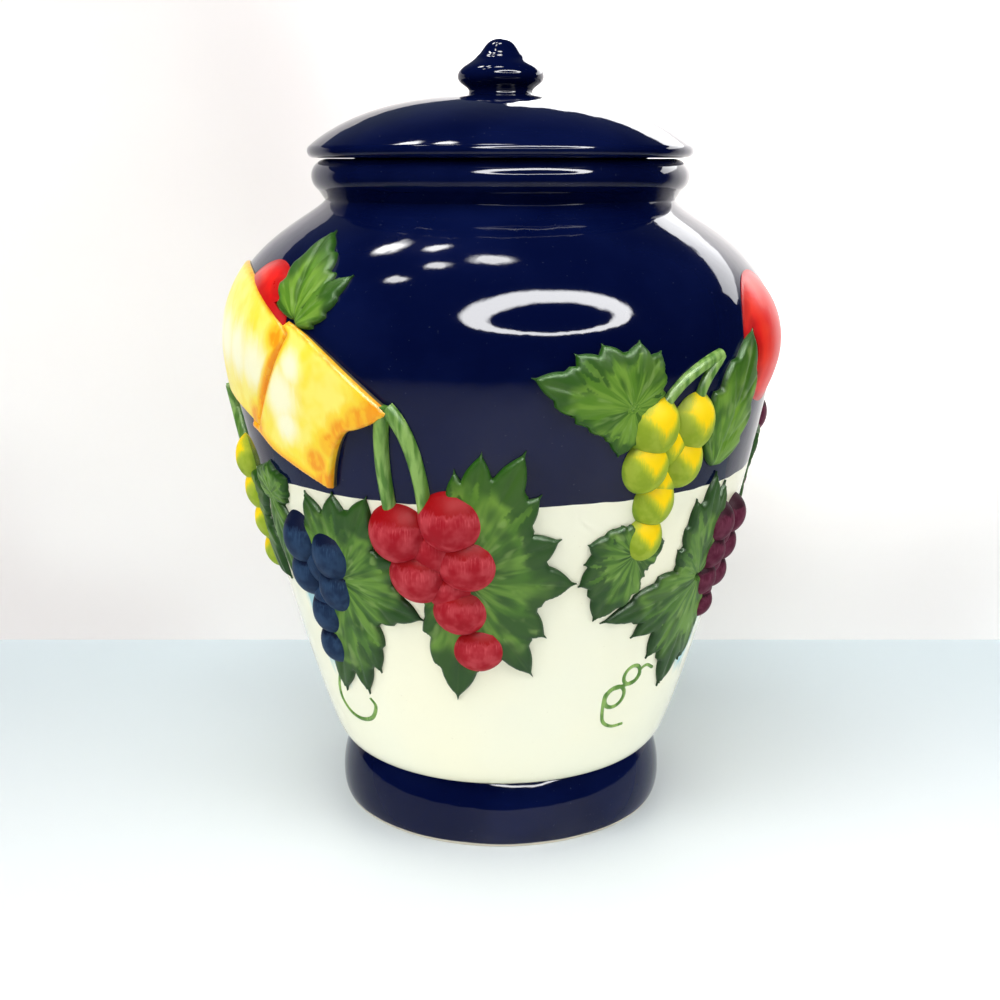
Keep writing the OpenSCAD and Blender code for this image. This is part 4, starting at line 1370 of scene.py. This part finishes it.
ribbon_in_front = [(panel_line, RIBBON_ANGLE), (tail_line, TAIL_ANGLE)]
fruit("apple_right", SIDE_FRUIT, leaf_in_front("side"), apple_glaze)
fruit("peach_back", SIDE_FRUIT, leaf_in_front("side"), peach_glaze, mirror=True)
fruit("apple_left", TOP_FRUIT, leaf_in_front("top") + ribbon_in_front, apple_glaze)
fruit("lemon_left", TOP_FRUIT, leaf_in_front("top") + ribbon_in_front, lemon_glaze, mirror=True)

# %% [markdown]
# ## Stems and tendrils
# A stem is a round cord that follows a curve on the wall, sunk so that a part of it stands out. A tendril is
# the same thing, thin, as a stroke of thick paint. A curve object with a bevel could make both, but its
# thickness would be one number. The tree turns a line of points that carry their own thickness into a closed
# cord.

# %% Cords along the wall
def cord_from_line(g, given):
    curve = g.node("GeometryNodeMeshToCurve", given["Geometry"])
    thick = g.node("GeometryNodeInputNamedAttribute", "thick", data_type="FLOAT")
    ring = g.node("GeometryNodeCurvePrimitiveCircle", named={"Resolution": given["Sides"], "Radius": 1.0})
    return g.node("GeometryNodeCurveToMesh", curve, ring, named={"Fill Caps": True, "Scale": thick})


CORD = new_tree("cord", {"Sides": 16}, cord_from_line)


def cord(name, lines, angle, mirror=False, node=None):
    """Lines are (flat points, thickness at each point, how far the middle lies over the glaze), in mm."""
    points, edges, thick = [], [], []
    for flat, size, rise in lines:
        placed = lay_on(flat, rise, angle)
        edges += [(len(points) + i, len(points) + i + 1) for i in range(len(flat) - 1)]
        points += list(mirrored(placed) if mirror else placed)
        thick += list(size * MM)
    obj = as_object(name, points, edges)
    stamp(obj, {"thick": thick})
    settle(obj, CORD, 70, Material=stem_glaze)
    return hand_over(outward(obj), "jar", node)


print("cord inputs", list(CORD[1]))

# %% [markdown]
# The stems join the bunches to the ribbon or to each other. They are painted in long strokes of two greens,
# by noise that is drawn out upwards, and they are a little thicker where they start, as a real stem is.

# %% Stems
STEM_T, STEM_W = 2.8, 4.4
STEM_R, STEM_OVER = STEM_W / 2, 0.35
STEM_DARK, STEM_LIGHT, STEM_CLOUD = (0.075, 0.200, 0.024), (0.26, 0.44, 0.105), (0.14, 0.30, 0.040)


def stem_finish():
    f = Finish("stem_glaze", gloss=0.25)
    brush = f.noise(f.here, 420, 3, stretch=(1, 1, 0.14), distortion=0.3)
    cloud = f.noise(f.here, 120, 1)
    colour = f.blend(f.step(brush, 0.38, 0.62), STEM_DARK, STEM_LIGHT)
    colour = f.blend(f.step(cloud, 0.5, 0.7) * 0.4, colour, STEM_CLOUD)
    f.paint(Base_Color=colour, Roughness=0.30 + brush * 0.12)
    f.bump(brush, 0.14 * MM)
    return f.material


stem_glaze = stem_finish()


def stem(points, share=1.0):
    flat = bezier(points, 24)
    t = np.linspace(0, 1, len(flat))
    return flat, STEM_R * share * (1.15 - 0.12 * t), STEM_T - STEM_R - STEM_OVER


RED_STEMS = [
    stem([(-4, 158), (-6, 150), (-7, 140), (-5, 122)]), stem([(-3, 157), (2, 152), (6, 142), (6, 123)])]
PAIR = [
    stem([(11, 170), (7, 166), (2, 162), (2, 153)], 0.8),
    stem([(11, 170), (2, 168), (-8, 164), (-13, 153)], 0.8)]
UNDER_STEMS = [stem([(s * 3, 153), (s * 2, 146), (-s * 4, 142), (-s * 6, 130)]) for s in (1, -1)]
STEMS = [
    ("red_stems_front", RED_STEMS, -19, False), ("red_stems_back", RED_STEMS, -19, True),
    ("green_stems_right", PAIR, 38, False), ("blue_stems_back", PAIR, 38, True),
    ("green_stems_left", UNDER_STEMS, RIBBON_ANGLE, False)]
for node, lines, angle, mirror in STEMS:
    cord(node.replace("stems", "cords"), lines, angle, mirror, node)

# %% [markdown]
# The tendrils curl from the lowest leaves. They could be drawn into the cream's colour, but they are a
# stroke of thick paint that can be felt, so they stand out by less than half a millimetre. Each is a smooth
# line through a few points: Hermite curves, whose slopes come from the points on both sides.

# %% Tendrils
TENDRIL_T, TENDRIL_R = 0.4, 1.1


def tendril(points, size):
    """A smooth line through the points, thin at both ends."""
    points = np.array(points, float)
    fine = np.linspace(0, len(points) - 1, 12 * len(points))
    slope = np.gradient(points, axis=0)
    k = np.minimum(fine.astype(int), len(points) - 2)
    u = (fine - k)[:, None]
    flat = ((2 * u ** 3 - 3 * u ** 2 + 1) * points[k] + (u ** 3 - 2 * u ** 2 + u) * slope[k]
            + (3 * u ** 2 - 2 * u ** 3) * points[k + 1] + (u ** 3 - u ** 2) * slope[k + 1])
    taper = np.sqrt(np.sin(np.pi * np.clip(fine / fine[-1], 0.03, 0.97)))
    size = size * (0.5 + 0.5 * taper)
    return flat, size, TENDRIL_T - size


def ringlet(middle, start, sweep, radius, last_radius):
    """Points of a loop whose radius changes a little as it goes round."""
    a = np.radians(np.linspace(start, start + sweep, 1 + abs(sweep) // 30))
    return np.array(middle) + np.linspace(radius, last_radius, len(a))[:, None] * np.c_[np.cos(a), np.sin(a)]


CURL = np.vstack([
    [(8.5, 62.6), (5.2, 64.4)], ringlet((-0.9, 62.2), 20, -450, 3.7, 3.2),
    ringlet((-6.5, 54.8), 80, 450, 3.6, 4.2), [(-9.8, 48.6), (-8.2, 45.0), (-4.4, 42.8), (0.4, 42.6)]])
HOOK = [(-11, 58), (-14, 52), (-14.4, 46.6), (-11, 42.6), (-5.1, 41.6), (1.1, 44), (4.6, 49.4), (3.0, 52.4)]
for name, line, angle in (("tendril_right", CURL, 38), ("tendril_left", HOOK, -42)):
    for side, mirror in (("front", False), ("back", True)):
        cord(f"{name}_{side}", [tendril(line, TENDRIL_R)], angle, mirror)

# %% [markdown]
# ## Stage and lights
# A large window and lamps light the real jar. A ready-made sky could do it, but a dark glossy pot is a
# mirror and would show it as it is. So what lights the pot is planned apart from what it shows: three large
# soft lights are kept out of reflections.

# %% Large soft lights
def area_light(name, at, look, power, width, height):
    data = bpy.data.lights.new(name, "AREA")
    data.shape, data.size, data.size_y = "RECTANGLE", width, height
    data.energy = power
    light = bpy.data.objects.new(name, data)
    light.location = at
    light.rotation_euler = (Vector(look) - Vector(at)).to_track_quat("-Z", "Y").to_euler()
    light.visible_glossy = False
    bpy.context.scene.collection.objects.link(light)


area_light("overhead", (-0.25, -0.55, 1.5), (0, 0, 0.1), 22.6, 1.3, 1.1)
area_light("right_soft", (1.2, -0.5, 0.7), (0, 0, 0.13), 10, 0.9, 0.9)
area_light("left_soft", (-1.2, -0.7, 0.6), (0, 0, 0.13), 10, 0.9, 0.9)

# %% [markdown]
# What the glaze shows is a bright oval lamp in front and a few small ceiling lamps over the pot. They could
# be real lights, but then they would wash out the paint, so they are glowing discs that show only in the
# glaze. Each fades towards its rim, as a frosted shade does.

# %% Lamps that show
LAMP_Z = 1.6
CEILING = (
    (-0.83, -0.27, 0.10), (-0.43, -0.11, 0.085), (-0.06, -0.05, 0.12),
    (-0.67, 0.45, 0.13), (-0.38, 0.25, 0.08))


def glow(name, colour, strength):
    """A lamp's own bright face, which fades towards its rim."""
    f = Finish(name)
    f.paint(Base_Color=(0, 0, 0), Emission_Strength=strength)
    f.paint(Emission_Color=f.blend(f.step(f.mark("core"), 0.0, 1.0), (0, 0, 0), colour))
    return f.material


def only_mirrored(obj):
    """The lamp shows in the glaze, and lights nothing."""
    obj.visible_diffuse = obj.visible_shadow = obj.visible_camera = False


def disc(name, middle, wide, deep, material, hole=0.01, fade=0.22, sides=72):
    """A flat oval lamp that faces down, or a ring when its hole is large."""
    a = np.linspace(0, math.tau, sides, endpoint=False)
    soft = (1 - hole) * fade
    shares, core = (1, 1 - soft, hole + soft, hole), (0, 1, 1, 0 if hole > 0.1 else 1)
    points = np.vstack([np.c_[np.cos(a) * wide * k, np.sin(a) * deep * k, 0 * a] for k in shares]) + middle
    quads = [(i, i + sides, (i + 1) % sides + sides, (i + 1) % sides) for i in range(sides)]
    faces = [tuple(row * sides + i for i in quad) for row in range(len(shares) - 1) for quad in quads]
    obj = as_object(name, points, (), faces)
    stamp(obj, {"core": np.repeat(core, sides)})
    obj.data.materials.append(material)
    only_mirrored(obj)


disc("oval_lamp", (0.335, -0.835, 0.735), 0.60, 0.54, glow("lamp", (1.0, 1.0, 1.0), 50.0), hole=0.66)
spot = glow("spot", (1.0, 0.99, 0.97), 36.0)
for number, (x, y, size) in enumerate(CEILING):
    disc(f"ceiling_lamp_{number}", (x, y, LAMP_Z), size * 1.5, size, spot, fade=0.6)
print("lamps that show", 1 + len(CEILING))

# %% [markdown]
# The floor fades out all round, so that it has no edge. The room behind could be a plain colour, but a wall
# close behind the pot also lights its sides. It is pale and fades out to its sides. Seen from its own back
# it is clear, and it casts no shadow, so that the pot can be looked at from there too. The window is a
# bright panel on it, which shows only in the lid.

# %% Floor, wall and window
FLOOR_HALF, FLOOR_FADES = 1, (0.38, 0.75)
FLOOR_NEAR, FLOOR_FAR = (0.84, 0.87, 0.88), (0.52, 0.60, 0.63)
WALL_AT, WALL_TOP, WALL_SIDE, WALL_FADES = 0.152, 0.31, 0.45, (0.27, 0.44)
WALL_PALE, WALL_MOTTLE = (0.94, 0.91, 0.89), (0.80, 0.745, 0.73)
DAY_AT, DAY_FADES, DAY = (0.16, WALL_AT, 0.32), (0.02, 0.30), (1.0, 0.98, 0.97)
WINDOW_AT, WINDOW_X, WINDOW_Z = WALL_AT - 0.002, (0.45, 0.004), (0.298, 0.372)


def plain(name, points, roughness, colour_of):
    """One large face of the room."""
    obj = as_object(name, points, (), [(0, 1, 2, 3)])
    f = Finish(name, roughness=roughness)
    f.paint(Base_Color=colour_of(f))
    obj.data.materials.append(f.material)
    return obj


def upright(at, sides, heights):
    (left, right), (low, high) = sides, heights
    return [(left, at, low), (right, at, low), (right, at, high), (left, at, high)]


def floor_colour(f):
    f.paint(Alpha=1 - f.step(f.length(f.here), *FLOOR_FADES))
    # Painted shade: the floor is darker towards the back
    return f.blend(f.step(f.xyz(f.here)[1], -0.22, 0.16), FLOOR_NEAR, FLOOR_FAR)


def wall_colour(f):
    seen_from_behind = f.node("ShaderNodeNewGeometry", out=6)
    f.paint(Alpha=(1 - seen_from_behind) * (1 - f.step(abs(f.xyz(f.here)[0]), *WALL_FADES)))
    # A patch of painted daylight glows on the wall, most of it at the right above the lid
    day = 1 - f.step(f.length(f.vector("SUBTRACT", f.here, DAY_AT)), *DAY_FADES)
    f.paint(Emission_Color=f.blend(day, (0, 0, 0), DAY), Emission_Strength=1.6)
    mottle = f.noise(f.here, 2.6, 2, stretch=(1, 1, 1.4))
    return f.blend(f.step(mottle, 0.40, 0.62), WALL_PALE, WALL_MOTTLE)


def window_colour(f):
    f.paint(Emission_Color=(1.0, 1.0, 1.0), Emission_Strength=7.0)
    return 0, 0, 0


corners = [(x * FLOOR_HALF, y * FLOOR_HALF, 0) for x, y in ((-1, -1), (1, -1), (1, 1), (-1, 1))]
plain("floor", corners, 0.42, floor_colour)
backdrop = plain("backdrop", upright(WALL_AT, (-WALL_SIDE, WALL_SIDE), (0, WALL_TOP)), 0.6, wall_colour)
backdrop.visible_shadow = False
only_mirrored(plain("window", upright(WINDOW_AT, WINDOW_X, WINDOW_Z), 0.5, window_colour))

# %% [markdown]
# Beyond the wall is the world. The glaze mirrors a dim room in it, a little lighter at the back. The same
# dim room behind the pot would make every side view dark, so the eye that looks straight at the world sees
# it pale.

# %% Room
ROOM_DARK, ROOM_BEHIND, ROOM_SEEN = (0.020, 0.020, 0.024), (0.10, 0.12, 0.15), (0.93, 0.90, 0.89)
world = bpy.data.worlds.new("room")
bpy.context.scene.world = world
world.use_nodes = True
w = Wiring(world.node_tree)
behind = w.xyz(w.node("ShaderNodeTexCoord"))[1]
room = w.blend(w.step(behind, 0.45, 0.90), ROOM_DARK, ROOM_BEHIND)
sky = w.blend(w.node("ShaderNodeLightPath"), room, ROOM_SEEN)
w.feed(world.node_tree.nodes["Background"].inputs["Color"], sky)
print("room", ROOM_DARK, "to", ROOM_BEHIND)

# %% [markdown]
# At the end, the faces of every mesh that is rendered are counted.

# %% Faces, and the end
shown = [o for o in bpy.data.objects if o.type == "MESH" and not o.hide_render]
print("faces in all", sum(len(o.data.polygons) for o in shown))
